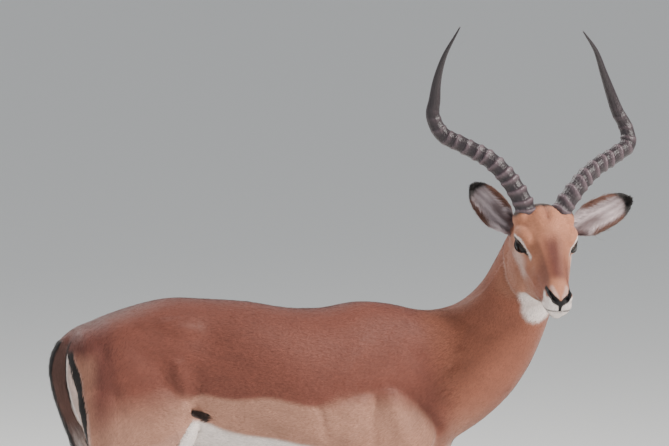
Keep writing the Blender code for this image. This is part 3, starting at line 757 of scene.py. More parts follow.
def lid_rim(side):
    """The bare dark edge of the lids, as a thin roll along their opening."""
    centre, outward, long, upward = eye_frame(side)
    turn = np.linspace(0, 2 * np.pi, 120, endpoint=False)
    edge = np.radians(lid_edge(turn) + 1.5)
    across = np.cos(turn)[:, None] * long + np.sin(turn)[:, None] * upward
    way = np.cos(edge)[:, None] * outward + np.sin(edge)[:, None] * across
    out = np.cos(edge)[:, None] * across - np.sin(edge)[:, None] * outward
    points = []
    for k in range(10):
        a = 2 * np.pi * k / 10
        points.append(centre + way * (EYE_RADIUS + 0.0006 + 0.0010 * np.sin(a)) + out * (0.0015 * np.cos(a)))
    points = np.array(points).transpose(1, 0, 2).reshape(-1, 3)
    n = len(turn)
    faces = [(i * 10 + k, i * 10 + (k + 1) % 10, (i + 1) % n * 10 + (k + 1) % 10, (i + 1) % n * 10 + k)
             for i in range(n) for k in range(10)]
    made = mesh_object("lid", points, faces)
    made.data.transform(head_matrix())
    return smooth(made)


RING_STEPS = 26
HORN_ROUND = 60
HORN_RISE = 0.0046


def horn(name, bends):
    """A horn with raised rings, boldest in front, over its lower part, and a smooth bare tip."""
    rows = smooth_rows(bends, 24)
    middle = rows[:, :3]
    length = np.concatenate([[0.0], np.cumsum(np.linalg.norm(np.diff(middle, axis=0), axis=1))])
    share = length / length[-1]
    stations = np.concatenate([np.linspace(0, RIDGED_SHARE, RING_STEPS * HORN_RIDGES, endpoint=False),
                               np.linspace(RIDGED_SHARE, 1.0, 60)])
    centre = np.stack([np.interp(stations, share, middle[:, k]) for k in range(3)], axis=1)
    radius = np.interp(stations, share, rows[:, 3])
    forward = unit(np.gradient(centre, axis=0))
    front = unit(np.array([1.0, 0.0, 0.0]) - forward * forward[:, :1])
    other = np.cross(forward, front)
    angle = 2 * np.pi * np.arange(HORN_ROUND) / HORN_ROUND
    wander = 0.16 * np.sin(angle + 0.7) + 0.05 * np.sin(3 * angle + 1.3)
    count = stations[:, None] / RIDGED_SHARE * HORN_RIDGES + wander
    spacing = 0.10 * np.sin(2.1 * np.floor(count)) + 0.5
    within = count % 1.0 - spacing
    crest = np.exp(-((np.abs(within) / np.where(within > 0, 0.13, 0.27)) ** 2))
    fade = np.clip((RIDGED_SHARE - stations) / 0.30, 0, 1)[:, None] * ramp(-0.01, 0.03, stations)[:, None]
    flutes = 0.00035 * np.sin(13 * angle + 9 * stations[:, None]) * np.clip(1 - stations * 1.1, 0, 1)[:, None]
    ring = np.cos(angle)[None, :, None] * front[:, None] + np.sin(angle)[None, :, None] * other[:, None]
    toward = unit(np.array([0.75, -0.65 * np.sign(bends[0].y), 0.0]))
    bold = 0.55 + 0.45 * ring @ toward
    rise = fade * bold * HORN_RISE * (crest - 0.30)
    wide = np.maximum(radius[:, None] + rise + flutes, 0.0008)
    points = (centre[:, None] + wide[..., None] * ring).reshape(-1, 3)
    made = mesh_object(name, points, ring_faces(len(stations), HORN_ROUND))
    made.data.transform(head_matrix())
    tone = mixed(HORN_VALLEY, HORN_CREST, (0.75 * fade * crest).ravel())
    tone = mixed(tone, HORN_TIP, np.repeat(ramp(0.55, 0.95, stations), HORN_ROUND))
    paint(made, tone)
    return smooth(made)


def toe(name, x, y, inner):
    """One half of a cloven hoof: flat sole, slanting front wall, upright heel."""
    sides, points = 40, []
    heights = np.concatenate([[0.0, 0.02], np.linspace(0.05, 1.0, 14)])
    for height in heights:
        length = np.interp(height, [0, 0.05, 0.12, 0.6, 1], [0.985, 1.0, 0.98, 0.86, 0.76])
        half = np.interp(height, [0, 0.05, 0.12, 0.6, 1], [0.95, 0.98, 1.0, 0.97, 0.88])
        for k in range(sides):
            angle = 2 * math.pi * k / sides
            forward = 0.5 * (1 + math.cos(angle))
            width = half * TOE_HALF_WIDTH * (1.0 - 0.55 * forward**2) * 1.08
            width *= 0.93 if math.sin(angle) * inner > 0 else 1.0
            across = y + math.sin(angle) * width + inner * TOE_TURN_IN * forward**3
            points.append((x + forward * length * HOOF_LENGTH, across, height * HOOF_HEIGHT))
    made = mesh_object(name, points, ring_faces(len(heights), sides))
    paint(made, mixed(HOOF_DARK, HOOF_PALE, ramp(0.7, 1.0, vertex_array(made.data)[:, 2] / HOOF_HEIGHT)))
    edge = made.modifiers.new("Soft edge", "BEVEL")
    edge.width, edge.segments, edge.limit_method = 0.0006, 2, "ANGLE"
    return smooth(applied(made))


# ---------------------------------------------------------------------------------------------
# Markings, with painted shade
# ---------------------------------------------------------------------------------------------
def tone(red, green, blue):
    """A colour given on a 0-255 scale, made linear."""
    c = np.array([red, green, blue]) / 255
    return np.where(c < 0.04045, c / 12.92, ((c + 0.055) / 1.055) ** 2.4)


SADDLE = tone(113, 62, 49)
SPINE = tone(98, 52, 44)
FAWN = tone(168, 122, 102)
TAN = tone(170, 120, 98)
NECK = tone(140, 84, 64)
CHEEK = tone(152, 98, 76)
TAIL_SIDE = tone(98, 68, 60)
FACE = tone(178, 118, 90)
BLAZE = tone(92, 44, 36)
MUZZLE = tone(132, 80, 64)
WHITE = tone(228, 216, 210)
PALE = tone(200, 176, 166)
BLACK = tone(26, 21, 20)
NOSE = tone(22, 19, 20)
EAR_BACK = tone(112, 72, 58)
EAR_SKIN = tone(84, 60, 60)
EAR_WHITE = tone(206, 190, 192)
PUPIL = tone(6, 5, 6)
IRIS = tone(26, 15, 11)
HORN_VALLEY = tone(38, 28, 32)
HORN_CREST = tone(104, 86, 92)
HORN_TIP = tone(36, 28, 32)
HOOF_DARK = tone(30, 26, 25)
HOOF_PALE = tone(66, 56, 50)


def mixed(first, second, share):
    share = np.asarray(share, float)[..., None]
    return np.broadcast_to(first, share.shape[:-1] + (3,)) * (1 - share) + second * share


def ripple(points, scale, seed):
    """A soft wandering field from -1 to 1."""
    rng = np.random.default_rng(seed)
    total = np.zeros(len(points))
    for _ in range(5):
        way = unit(rng.normal(size=3)) * rng.uniform(0.6, 1.6) / scale
        total += np.sin(points @ way + rng.uniform(0, 6.3))
    return total / 3.2


REGIONS = ("trunk", "neck", "head", "ear_right", "ear_left", "tail", "legs")


def near_path(path, points, width, blur=0.35):
    """1 on a stripe along the path and 0 off it; width may run from its start to its end."""
    gap, share = path_distance(path, points)
    half = width[0] + (width[1] - width[0]) * share if isinstance(width, tuple) else width
    return 1 - ramp(half * (1 - blur), half * (1 + blur), gap)


# The trunk's markings, with painted shade in the flank slot and on the buttocks' white by the stripes.
def body_markings(p, n):
    x, y, z = p[:, 0], np.abs(p[:, 1]), p[:, 2]
    wave = 0.004 * ripple(p, 0.02, 3)
    line = np.interp(x, [-0.42, -0.22, -0.133, 0.03, 0.10, 0.16, 0.212, 0.266, 0.31, 0.34, 0.365],
                     [0.690, 0.706, 0.728, 0.712, 0.702, 0.706, 0.710, 0.706, 0.686, 0.655, 0.590])
    blur = np.interp(x, [-0.22, -0.15, 0.09, 0.14], [0.055, 0.007, 0.007, 0.028])
    colour = mixed(FAWN, SADDLE, ramp(-1, 1, (z - line + wave) / blur))
    colour = mixed(colour, SPINE, 0.7 * spot(y, 0, 0.032) * ramp(0.84, 0.88, z))
    colour = mixed(colour, TAN, ramp(0.66, 0.55, z) * ramp(0.12, 0.22, np.abs(x + 0.02)))
    belly = np.interp(x, [-0.40, -0.22, -0.16, -0.125, -0.09, -0.04, 0.03, 0.10, 0.20, 0.34],
                      [0.60, 0.640, 0.674, 0.671, 0.655, 0.643, 0.633, 0.618, 0.570, 0.575])
    under = ramp(-1, 1, (belly - z + wave) / 0.006) * (1 - ramp(0.50, 0.44, z))
    inner = ramp(0.3, 0.9, -n[:, 1] * np.sign(p[:, 1])) * ramp(0.36, 0.50, z) * ramp(0.70, 0.64, z)
    thigh = np.interp(z, [0.60, 0.628, 0.652, 0.676, 0.70], [-0.212, -0.194, -0.175, -0.158, -0.150])
    outer_leg = ramp(0.070, 0.085, y) * ramp(0.003, -0.003, x - thigh)
    outer_leg = outer_leg + ramp(0.036, 0.050, y) * ramp(0.13, 0.15, x)
    colour = mixed(colour, WHITE, np.maximum(under * (1 - 0.95 * np.clip(outer_leg, 0, 1)), inner))
    white_front = ramp(0.66, 0.57, z + wave) * ramp(0.045, 0.020, y) * ramp(0.18, 0.24, x)
    colour = mixed(colour, WHITE, white_front)

    # Painted shadow: the flank slot is painted near black, as the deep shade in it.
    gap, _ = path_distance([(a, 0.0, c) for a, _, c in FLANK_SLOT], p * [1, 0, 1])
    colour = mixed(colour, BLACK, 0.94 * ramp(0.0095, 0.0065, gap) * (y > 0.06))
    rear = ramp(-0.28, -0.33, x)
    back = np.degrees(np.arctan2(y, -(x + 0.300)))
    across = y + x + 0.385
    stripe = np.interp(z, [0.60, 0.64, 0.675, 0.704, 0.730, 0.748, 0.783, 0.810, 0.835],
                       [0.094, 0.093, 0.092, 0.089, 0.080, 0.069, 0.051, 0.031, 0.022]) + 0.4 * wave
    top = ramp(0.830, 0.795, z)
    colour = mixed(colour, SPINE, 0.75 * rear * ramp(95, 60, back) * ramp(0.60, 0.75, z))
    colour = mixed(colour, TAN, 0.70 * rear * ramp(66, 46, back) * top)
    facing = ramp(0.20, -0.05, n[:, 0]) * rear
    # Painted shade: the buttocks' white hair by the stripe, between it and the tail, is painted as darker
    # pale instead of white.
    colour = mixed(colour, PALE * 0.9, 0.60 * facing * ramp(0.024, 0.004, across - stripe) * top)
    colour = mixed(colour, PALE, rear * ramp(0.002, -0.002, across - stripe) * ramp(0.822, 0.810, z))
    colour = mixed(colour, WHITE, rear * spot(y, 0.0285, 0.0045) * ramp(0.822, 0.812, z))
    beside = ramp(0.0280, 0.0255, y) * ramp(0.690, 0.730, z) * ramp(0.846, 0.832, z)
    colour = mixed(colour, mixed(TAIL_SIDE, BLACK, spot(y, 0.0255, 0.0035)), rear * beside)
    half = np.interp(z, [0.62, 0.65, 0.68, 0.71, 0.78, 0.835], [0.001, 0.0055, 0.0100, 0.0140, 0.0145, 0.011])
    soft = ramp(half + 0.0012, half - 0.0012, np.abs(across - stripe))
    return mixed(colour, BLACK, soft * facing * ramp(0.605, 0.630, z) * ramp(0.830, 0.818, z))


def leg_markings(p, n, colour):
    x, y, z = p[:, 0], np.abs(p[:, 1]), p[:, 2]
    hind = x < -0.05
    colour = mixed(colour, TAN * 0.92, spot(n[:, 0], 1.0, 0.5) * ramp(0.48, 0.38, z) * 0.5)
    colour = mixed(colour, SADDLE, 0.35 * spot(z, 0.30, 0.05) * (~hind) * ramp(0.2, 0.9, n[:, 0]))
    colour = mixed(colour, PALE, 0.55 * ramp(0.090, 0.060, z))
    colour = mixed(colour, SADDLE * 0.6, 0.6 * ramp(0.048, 0.040, z))
    tuft = np.hypot((z - 0.142) / 0.034, (y - LEG_SPREAD) / 0.010) + 0.15 * ripple(p, 0.006, 14)
    return mixed(colour, BLACK, 0.95 * hind * ramp(1.15, 0.80, tuft) * ramp(0.1, -0.35, n[:, 0]))


def about_eye(m):
    """Round the nearer eye: the turn, the degrees past the lids' edge and the reach from its centre."""
    centre, outward, long, upward = eye_frame(1)
    away = m - centre
    way = unit(away)
    turn = np.arctan2(way @ upward, way @ long)
    angle = np.degrees(np.arccos(np.clip(way @ outward, -1, 1)))
    return turn, angle - lid_edge(turn), np.linalg.norm(away, axis=1)


def almond(turn, front, rear, up, down):
    """Degrees from the eye's axis to an almond outline with the given reach each way."""
    long = np.where(np.cos(turn) > 0, front, rear)
    high = np.where(np.sin(turn) > 0, up, down)
    return ((np.abs(np.cos(turn)) / long) ** 1.5 + (np.abs(np.sin(turn)) / high) ** 1.5) ** (-1 / 1.5)


def head_markings(q):
    """q is in the head's own frame."""
    m = q * [1, 1, 1]
    m[:, 1] = np.abs(m[:, 1])
    x, y, z = m.T
    wave = 0.002 * ripple(m, 0.008, 5)
    colour = mixed(FACE, NECK, ramp(-0.03, -0.10, x) * ramp(0.03, 0.0, z))
    colour = mixed(colour, CHEEK, ramp(0.0, -0.035, z) * ramp(0.10, 0.05, x))
    colour = mixed(colour, FAWN, 0.6 * ramp(-0.045, -0.075, z) * ramp(-0.04, 0.02, x))
    colour = mixed(colour, MUZZLE, 0.8 * ramp(0.050, 0.085, x) * ramp(0.010, 0.024, y))
    bridge = ramp(0.000, 0.040, x) * (1 - ramp(0.106, 0.128, x)) * (z > -0.03)
    colour = mixed(colour, MUZZLE, 0.8 * spot(y, 0.0, 0.028) * bridge)
    colour = mixed(colour, BLAZE, 0.85 * spot(y + 2 * wave, 0.0, 0.015) * bridge * ramp(0.015, 0.050, x))
    brow_cleft = spot(y, 0.0, 0.005) * ramp(0.01, -0.02, x) * ramp(0.03, 0.05, z)
    colour = mixed(colour, MUZZLE, 0.5 * brow_cleft)
    turn, over, reach = about_eye(m)
    angle = over + lid_edge(turn)
    near = ramp(0.048, 0.040, reach)
    dark = almond(turn, 66.0, 84.0, 36.0, 32.0)
    stripe = ramp(0, 3, angle - dark) * ramp(11, 8, angle - dark - 3 * np.sin(turn))
    stripe *= ramp(-0.10, 0.10, np.sin(turn)) * ramp(-0.98, -0.85, np.cos(turn)) * near
    colour = mixed(colour, WHITE, 0.95 * stripe)
    upright = m * [1, 0, 1]
    streak = [(-0.006, 0, -0.016), (0.012, 0, -0.026), (0.022, 0, -0.044)]
    below = near_path(streak, upright, (0.0180, 0.0120), 1.0)
    below *= ramp(0.025, 0.035, y) * ramp(-2, 4, angle - dark) * ramp(0.25, -0.10, np.sin(turn))
    colour = mixed(colour, PALE, 0.60 * below)
    edge = near_path([(a + 0.004, 0.0, c) for a, _, c in JAW_EDGE], upright, (0.0035, 0.0025), 0.9)
    colour = mixed(colour, PALE, 0.28 * edge * ramp(0.036, 0.046, y))
    jaw = ramp(-0.096, -0.110, z + 0.25 * np.clip(x, 0, 0.12)) * ramp(0.046, 0.032, y)
    jaw = np.maximum(jaw, ramp(-0.066, -0.078, z) * ramp(0.06, 0.09, x))
    colour = mixed(colour, WHITE, jaw)
    flat = m * [0.0, 1.0, 1.0]
    lip = ramp(0.088, 0.108, x) * ramp(-0.033, -0.043, z + 0.6 * np.clip(0.148 - x, 0, 0.06))
    pad = near_path([(0.0, 0.0175, -0.0430), (0.0, 0.0100, -0.0500)], flat, 0.0110, 0.3)
    pad *= ramp(0.120, 0.132, x)
    under = near_path([(0.0, 0.0225, -0.0350), (0.0, 0.0175, -0.0430)], flat, 0.0070, 0.3)
    under *= ramp(0.114, 0.126, x)
    wing = near_path([(0.0, 0.0060, -0.0270), (0.0, 0.0160, -0.0150)], flat, (0.0040, 0.0045), 0.6)
    wing *= ramp(0.126, 0.136, x)
    colour = mixed(colour, WHITE, np.maximum.reduce([lip, pad, under, 0.30 * wing]))
    crown = (1 - ramp(0.018, 0.026, y)) * ramp(-0.044, -0.056, x) * ramp(0.040, 0.050, z)
    roots = near_path([(-0.040, 0.031, 0.030), (-0.064, 0.041, 0.062)], m, 0.0262, 0.10)
    roots *= ramp(-0.030, -0.044, x)
    colour = mixed(colour, BLACK, 0.93 * np.maximum(crown, roots))
    colour = mixed(colour, BLACK, 0.96 * ramp(3, -1, angle - dark) * near)
    mouth = spot(z, -0.0545 - 0.10 * y, 0.0019) * ramp(0.098, 0.114, x)
    colour = mixed(colour, BLACK, 0.93 * mouth)
    return mixed(colour, NOSE, bare_nose(m))


def bare_nose(m):
    """The hairless black Y through the nostrils and down to the mouth."""
    flat = m * [0.0, 1.0, 1.0]
    arm = near_path([(0.0, 0.0, -0.0400), (0.0, 0.0110, -0.0325)], flat, (0.0052, 0.0072), 0.14)
    rim = [(0.0, 0.0110, -0.0325), (0.0, 0.0170, -0.0265), (0.0, 0.0228, -0.0228)]
    nostril = near_path(rim, flat, (0.0072, 0.0038), 0.14)
    stem = near_path([(0.0, 0.0, -0.0400), (0.0, 0.0, -0.0540)], flat, (0.0046, 0.0024), 0.2)
    return np.maximum(np.maximum(arm, nostril), stem) * ramp(0.116, 0.122, m[:, 0])


def ear_markings(q, n, spec):
    """q and n in the head's frame."""
    base, tip, facing = np.array(spec.base), np.array(spec.tip), unit(np.array(spec.facing))
    along = unit(tip - base)
    share = (q - base) @ along / spec.length
    half = 0.5 * spec.width * np.array([ear_outline(s) for s in np.clip(share, 0, 1)])
    wide = (q - base) @ unit(np.cross(along, facing)) / np.maximum(half, 0.006)
    inside = ramp(-0.1, 0.3, n @ facing)
    hair = 0.78 + 0.22 * np.cos(wide * 11 + 6 * share)
    # The cup's hollow, low in the middle, is left without white hair: the bare skin's own dark colour, used
    # also as painted shade of the ear canal.
    hollow_shade = 0.8 - 0.8 * ramp(0.30, 1.30, np.hypot((share - 0.32) / 0.26, (wide - 0.30) / 0.40))
    hair *= (1 - hollow_shade) * ramp(0.02, 0.22, share - 0.12 * wide) * (1 - 0.45 * ramp(0.60, 0.85, share))
    inner = mixed(EAR_SKIN, EAR_WHITE, hair)
    outer = mixed(EAR_BACK, FAWN, 0.5 * ramp(0.35, 0.0, share))
    colour = mixed(mixed(outer, inner, inside), EAR_BACK * 0.7, ramp(0.93, 1.03, np.abs(wide)))
    return mixed(colour, BLACK, ramp(0.84, 0.95, share + 0.09 * np.abs(wide)))


def tail_markings(p, n):
    z, wide = p[:, 2], np.abs(p[:, 1])
    colour = mixed(TAIL_SIDE, TAIL_SIDE * 0.7, 0.5 + 0.5 * ripple(p * [1, 1, 0.2], 0.006, 8))
    colour = mixed(colour, WHITE, ramp(0.25, 0.65, n[:, 0]) * ramp(0.80, 0.70, z))
    colour = mixed(colour, WHITE, ramp(0.70, 0.60, z) * ramp(0.008, 0.016, wide))
    colour = mixed(colour, WHITE, 0.9 * ramp(0.60, 0.55, z))
    line = (1 - ramp(0.0080, 0.0115, wide)) * ramp(0.1, -0.5, n[:, 0]) * ramp(0.545, 0.60, z)
    return mixed(colour, BLACK, line * ramp(0.870, 0.850, z))


def markings(p, n, region):
    """The coat's colour at points of the anatomical frame, with their normals and region numbers, with
    painted shade in the flank slot, on the buttocks' white by the stripes and in the ears' hollows.
    """
    q, m = to_head(p), n @ HEAD_FRAME[:3, :3]
    colour = body_markings(p, n)
    low = p[:, 2] < 0.56
    colour[low] = leg_markings(p[low], n[low], colour[low])
    neck_share = ramp(0.330, 0.400, p[:, 0] + 0.18 * (p[:, 2] - 0.72))
    patch = np.hypot((q[:, 1] - 0.004) / 0.027, (q[:, 2] + 0.142) / 0.020) + 0.12 * ripple(p, 0.012, 12)
    gullet = ramp(0.040, 0.026, np.abs(q[:, 1])) * ramp(-0.152, -0.140, q[:, 2])
    throat = np.maximum(ramp(1.40, 0.75, patch), 0.8 * gullet) * ramp(-0.060, -0.030, q[:, 0])
    neck = mixed(NECK, FAWN, 0.75 * ramp(0.2, 0.9, unit(n)[:, 0] - 0.4 * n[:, 2]) * ramp(0.50, 0.40, p[:, 0]))
    neck = mixed(neck, WHITE, throat)
    colour = colour * (1 - neck_share[:, None]) + neck * neck_share[:, None]
    head_share = ramp(-0.104, -0.084, q[:, 0] - 0.45 * np.clip(-q[:, 2], 0, 0.2)) * (neck_share > 0.9)
    chin = ramp(0.020, 0.040, q[:, 0]) * ramp(-0.16, -0.14, q[:, 2])
    head_share *= np.maximum(ramp(-0.128, -0.114, q[:, 2]), chin)
    face = head_markings(q)
    colour = colour * (1 - head_share[:, None]) + face * head_share[:, None]
    for name in SIDES:
        chosen = region == REGIONS.index(f"ear_{name}")
        colour[chosen] = ear_markings(q[chosen], m[chosen], EARS[name])
    chosen = region == REGIONS.index("tail")
    colour[chosen] = tail_markings(p[chosen], n[chosen])
    return colour * (1 + 0.05 * ripple(p, 0.035, 7) + 0.03 * ripple(p, 0.009, 8))[:, None]


# ---------------------------------------------------------------------------------------------
# Coat
# ---------------------------------------------------------------------------------------------
NECK_AXIS = [(0.330, 0.0, 0.715), (0.385, 0.0, 0.745), (0.438, -0.002, 0.772), (0.478, -0.007, 0.806),
             (0.506, -0.017, 0.845), (0.526, -0.030, 0.890), (0.541, -0.046, 0.938), (0.551, -0.062, 0.984),
             (0.556, -0.076, 1.022)]
WHORL = np.array([0.022, 0.0, 0.044])  # where the hair of the brow parts, in the head's frame


def axis_share(axis, points):
    """How far along the axis each point lies, and the axis's middle and direction there."""
    axis = np.array(axis)
    _, share = path_distance([tuple(a) for a in axis], points)
    steps = np.concatenate([[0.0], np.cumsum(np.linalg.norm(np.diff(axis, axis=0), axis=1))])
    at = share * steps[-1]
    middle = np.stack([np.interp(at, steps, axis[:, k]) for k in range(3)], axis=1)
    slope = np.gradient(axis, axis=0)
    along = unit(np.stack([np.interp(at, steps, slope[:, k]) for k in range(3)], axis=1))
    return share, middle, along


def lie_of(p, n, region):
    """The way the hair lies at each point."""
    q = to_head(p)
    x, z = p[:, 0], p[:, 2]
    side = np.sign(p[:, 1])
    down = 0.12 + 0.9 * ramp(-0.20, -0.36, x) + 0.7 * ramp(0.16, 0.30, x) * ramp(0.84, 0.72, z)
    way = np.stack([-np.ones(len(p)) * (1 - 0.55 * ramp(-0.20, -0.36, x)), 0.15 * side, -down], axis=1)
    way[:, 2] += 0.45 * spot(x, -0.165, 0.05) * spot(z, 0.66, 0.05)
    seat = ramp(-0.325, -0.355, x)[:, None] * ramp(0.3, -0.2, n[:, 0])[:, None]
    way = unit(way) * (1 - seat) + np.array([-0.12, 0.0, -1.0]) * seat
    legs = region == REGIONS.index("legs")
    way[legs] = [-0.12, 0.0, -1.0]
    tail = region == REGIONS.index("tail")
    rearward = np.interp(z[tail], [0.55, 0.69, 0.78, 0.86], [0.30, 0.30, 0.05, -0.8])
    way[tail] = np.stack([rearward, 0.10 * side[tail], -np.ones(tail.sum())], axis=1)
    _, _, along = axis_share(NECK_AXIS, p)
    share = ramp(0.33, 0.42, x + 0.18 * (z - 0.72))[:, None]
    way = unit(way) * (1 - share) + unit(-along + [0, 0, -0.25]) * share
    turned_head = HEAD_FRAME[:3, :3]
    m = q - WHORL
    spread = np.stack([m[:, 0], 0.9 * m[:, 1], 0.25 * m[:, 2] - 0.004 - 0.5 * np.abs(q[:, 1])], axis=1)
    cheek = np.stack([-0.75 * np.ones(len(q)), 0.05 * np.sign(q[:, 1]), -0.5 * np.ones(len(q))], axis=1)
    low = ramp(0.010, -0.035, q[:, 2])[:, None]
    bridge = (ramp(0.02, 0.05, q[:, 0]) * (1 - ramp(0.018, 0.034, np.abs(q[:, 1]))))[:, None]
    face = unit(spread) * (1 - low) + unit(cheek) * low
    face = unit(face) * (1 - bridge) + np.array([1.0, 0.0, -0.3]) * bridge
    head = ramp(-0.10, -0.06, q[:, 0])[:, None] * (region == REGIONS.index("head"))[:, None]
    way = way * (1 - head) + (unit(face) @ turned_head.T) * head
    for name in SIDES:
        chosen = region == REGIONS.index(f"ear_{name}")
        spec = EARS[name]
        base, tip, facing = np.array(spec.base), np.array(spec.tip), unit(np.array(spec.facing))
        along = unit(tip - base)
        wide = (q[chosen] - base) @ np.cross(along, facing)
        inward = -np.sign(wide)[:, None] * np.cross(along, facing) * ramp(0.004, 0.03, np.abs(wide))[:, None]
        inside = ramp(0.0, 0.4, (n[chosen] @ HEAD_FRAME[:3, :3]) @ facing)[:, None]
        way[chosen] = (along + 0.9 * inward * inside) @ turned_head.T
    return way


# A coat: the regions it grows on, its side of the body (0 for both), the number of tufts, their length
# and width, how far their tips lift, their scatter about the lie in degrees and their roll about it.
Coat = namedtuple("Coat", "name regions side count length width lift scatter roll")
COATS = [
    Coat("coat_back_right", ["trunk"], -1, 55000, 0.0105, 0.0014, 0.0004, 6, 0.05),
    Coat("coat_back_left", ["trunk"], 1, 55000, 0.0105, 0.0014, 0.0004, 6, 0.05),
    Coat("coat_front_right", ["trunk"], -1, 55000, 0.0105, 0.0014, 0.0004, 6, 0.05),
    Coat("coat_front_left", ["trunk"], 1, 55000, 0.0105, 0.0014, 0.0004, 6, 0.05),
    Coat("coat_neck", ["neck"], 0, 60000, 0.0100, 0.0011, 0.0004, 7, 0.05),
    Coat("coat_head", ["head"], 0, 66000, 0.0052, 0.0007, 0.0003, 9, 0.08),
    Coat("coat_ears", ["ear_right", "ear_left"], 0, 38000, 0.0080, 0.0007, 0.0009, 12, 0.20),
    Coat("coat_legs", ["legs"], 0, 62000, 0.0095, 0.0013, 0.0004, 7, 0.08),
    Coat("coat_tail", ["tail"], 0, 16000, 0.0260, 0.0012, 0.0022, 8, 0.25),
]
MIDRIFF = -0.030  # where the trunk's coat is split between its front and back pieces


def length_of(coat, p, n, region):
    """Each tuft's length: the piece's own, drawn out or cut back where the coat is."""
    q = to_head(p)
    length = np.full(len(p), coat.length)
    if coat.name == "coat_head":
        length *= 0.42 + 0.58 * ramp(0.135, 0.02, q[:, 0])
        brow = spot(q[:, 0], -0.020, 0.030) * spot(np.abs(q[:, 1]), 0.0, 0.034) * ramp(0.02, 0.045, q[:, 2])
        length *= 1 + 1.0 * brow
        for side in SIDES.values():
            centre = eye_frame(side)[0]
            length *= 0.45 + 0.55 * ramp(0.020, 0.034, np.linalg.norm(q - centre, axis=1))
        length *= 1 + 0.5 * ramp(-0.03, -0.08, q[:, 0]) * ramp(-0.06, -0.09, q[:, 2])
    if coat.name == "coat_legs":
        length *= 0.55 + 0.65 * ramp(0.10, 0.55, p[:, 2])
        tuft = (p[:, 0] < 0) * spot(p[:, 2], 0.150, 0.026) * ramp(0.1, -0.5, n[:, 0])
        length *= 1 + 2.2 * tuft
    if coat.name == "coat_neck":
        throat = ramp(-0.04, -0.09, q[:, 2]) * ramp(-0.20, -0.14, q[:, 0])
        from_head_edge = ramp(-0.060, -0.120, np.maximum(q[:, 0], q[:, 2] + 0.03))
        length *= (1 + 0.25 * throat) * (0.55 + 0.45 * from_head_edge)
    if coat.side:
        length *= 1 - 0.25 * ramp(0.62, 0.58, p[:, 2])
        seat = ramp(-0.35, -0.38, p[:, 0])
        length *= 1 + 0.15 * seat
    if coat.name == "coat_ears":
        for name in SIDES:
            spec = EARS[name]
            on = region == REGIONS.index(f"ear_{name}")
            along = unit(np.array(spec.tip) - np.array(spec.base))
            share = (q - np.array(spec.base)) @ along / spec.length
            inside = ramp(0.0, 0.4, (n @ HEAD_FRAME[:3, :3]) @ unit(np.array(spec.facing)))
            inner = inside * ramp(0.95, 0.6, share) * ramp(-0.05, 0.15, share)
            length = np.where(on, length * (0.7 + 1.5 * inner), length)
    if coat.name == "coat_tail":
        length *= 0.5 + 0.8 * ramp(0.80, 0.60, p[:, 2])
    return length


def unwrap(coat, p, n, region):
    """Where each root lies on a flat unwrap of its piece of skin, from 0 to 1 each way."""
    q = to_head(p)
    if coat.name == "coat_neck":
        share, middle, along = axis_share(NECK_AXIS, p)
        away = p - middle
        across = unit(np.cross(along, [0.0, 0.0, 1.0]))
        turn = np.arctan2((away * across).sum(1), (away * np.cross(across, along)).sum(1))
        return turn / (2 * np.pi) + 0.5, share
    if coat.name == "coat_head":
        return np.arctan2(q[:, 1], q[:, 2] + 0.03) / (2 * np.pi) + 0.5, (q[:, 0] + 0.13) / 0.30
    if coat.name == "coat_tail":
        return np.arctan2(p[:, 1], p[:, 0] + 0.39) / (2 * np.pi) + 0.5, (p[:, 2] - 0.50) / 0.38
    if coat.name == "coat_legs":
        hind, left = p[:, 0] < -0.05, p[:, 1] > 0
        hind_x = np.interp(p[:, 2], [0.05, 0.13, 0.4, 0.64], [-0.32, -0.34, -0.345, -0.27])
        axis_x = np.where(hind, hind_x, 0.21)
        turn = np.arctan2(np.abs(p[:, 1]) - 0.066, p[:, 0] - axis_x) / (2 * np.pi) + 0.5
        return (turn + hind * 2.0 + left) / 4, p[:, 2] / 0.70
    if coat.name == "coat_ears":
        u, v = np.zeros(len(p)), np.zeros(len(p))
        for i, name in enumerate(SIDES):
            spec, on = EARS[name], region == REGIONS.index(f"ear_{name}")
            along, facing = unit(np.array(spec.tip) - np.array(spec.base)), unit(np.array(spec.facing))
            inside = (n @ HEAD_FRAME[:3, :3]) @ facing > 0
            wide = (q - np.array(spec.base)) @ np.cross(along, facing) / 0.10 + 0.5
            u = np.where(on, (np.clip(wide, 0.02, 0.98) + inside + 2 * i) / 4, u)
            v = np.where(on, (q - np.array(spec.base)) @ along / 0.18 + 0.08, v)
        return u, v
    along = (p[:, 0] - MIDRIFF) / 0.46 if "front" in coat.name else (p[:, 0] + 0.45) / 0.46
    return np.arctan2(p[:, 2] - 0.72, np.abs(p[:, 1])) / np.pi + 0.5, along


UV_PATCH = 0.0015  # half the side of a tuft's patch


def laid(tree, points, lift):
    """The points brought down onto the skin, then raised by lift."""
    found = [tree.find_nearest(p)[:2] for p in points]
    return np.array([f[0] for f in found]) + np.array([f[1] for f in found]) * lift


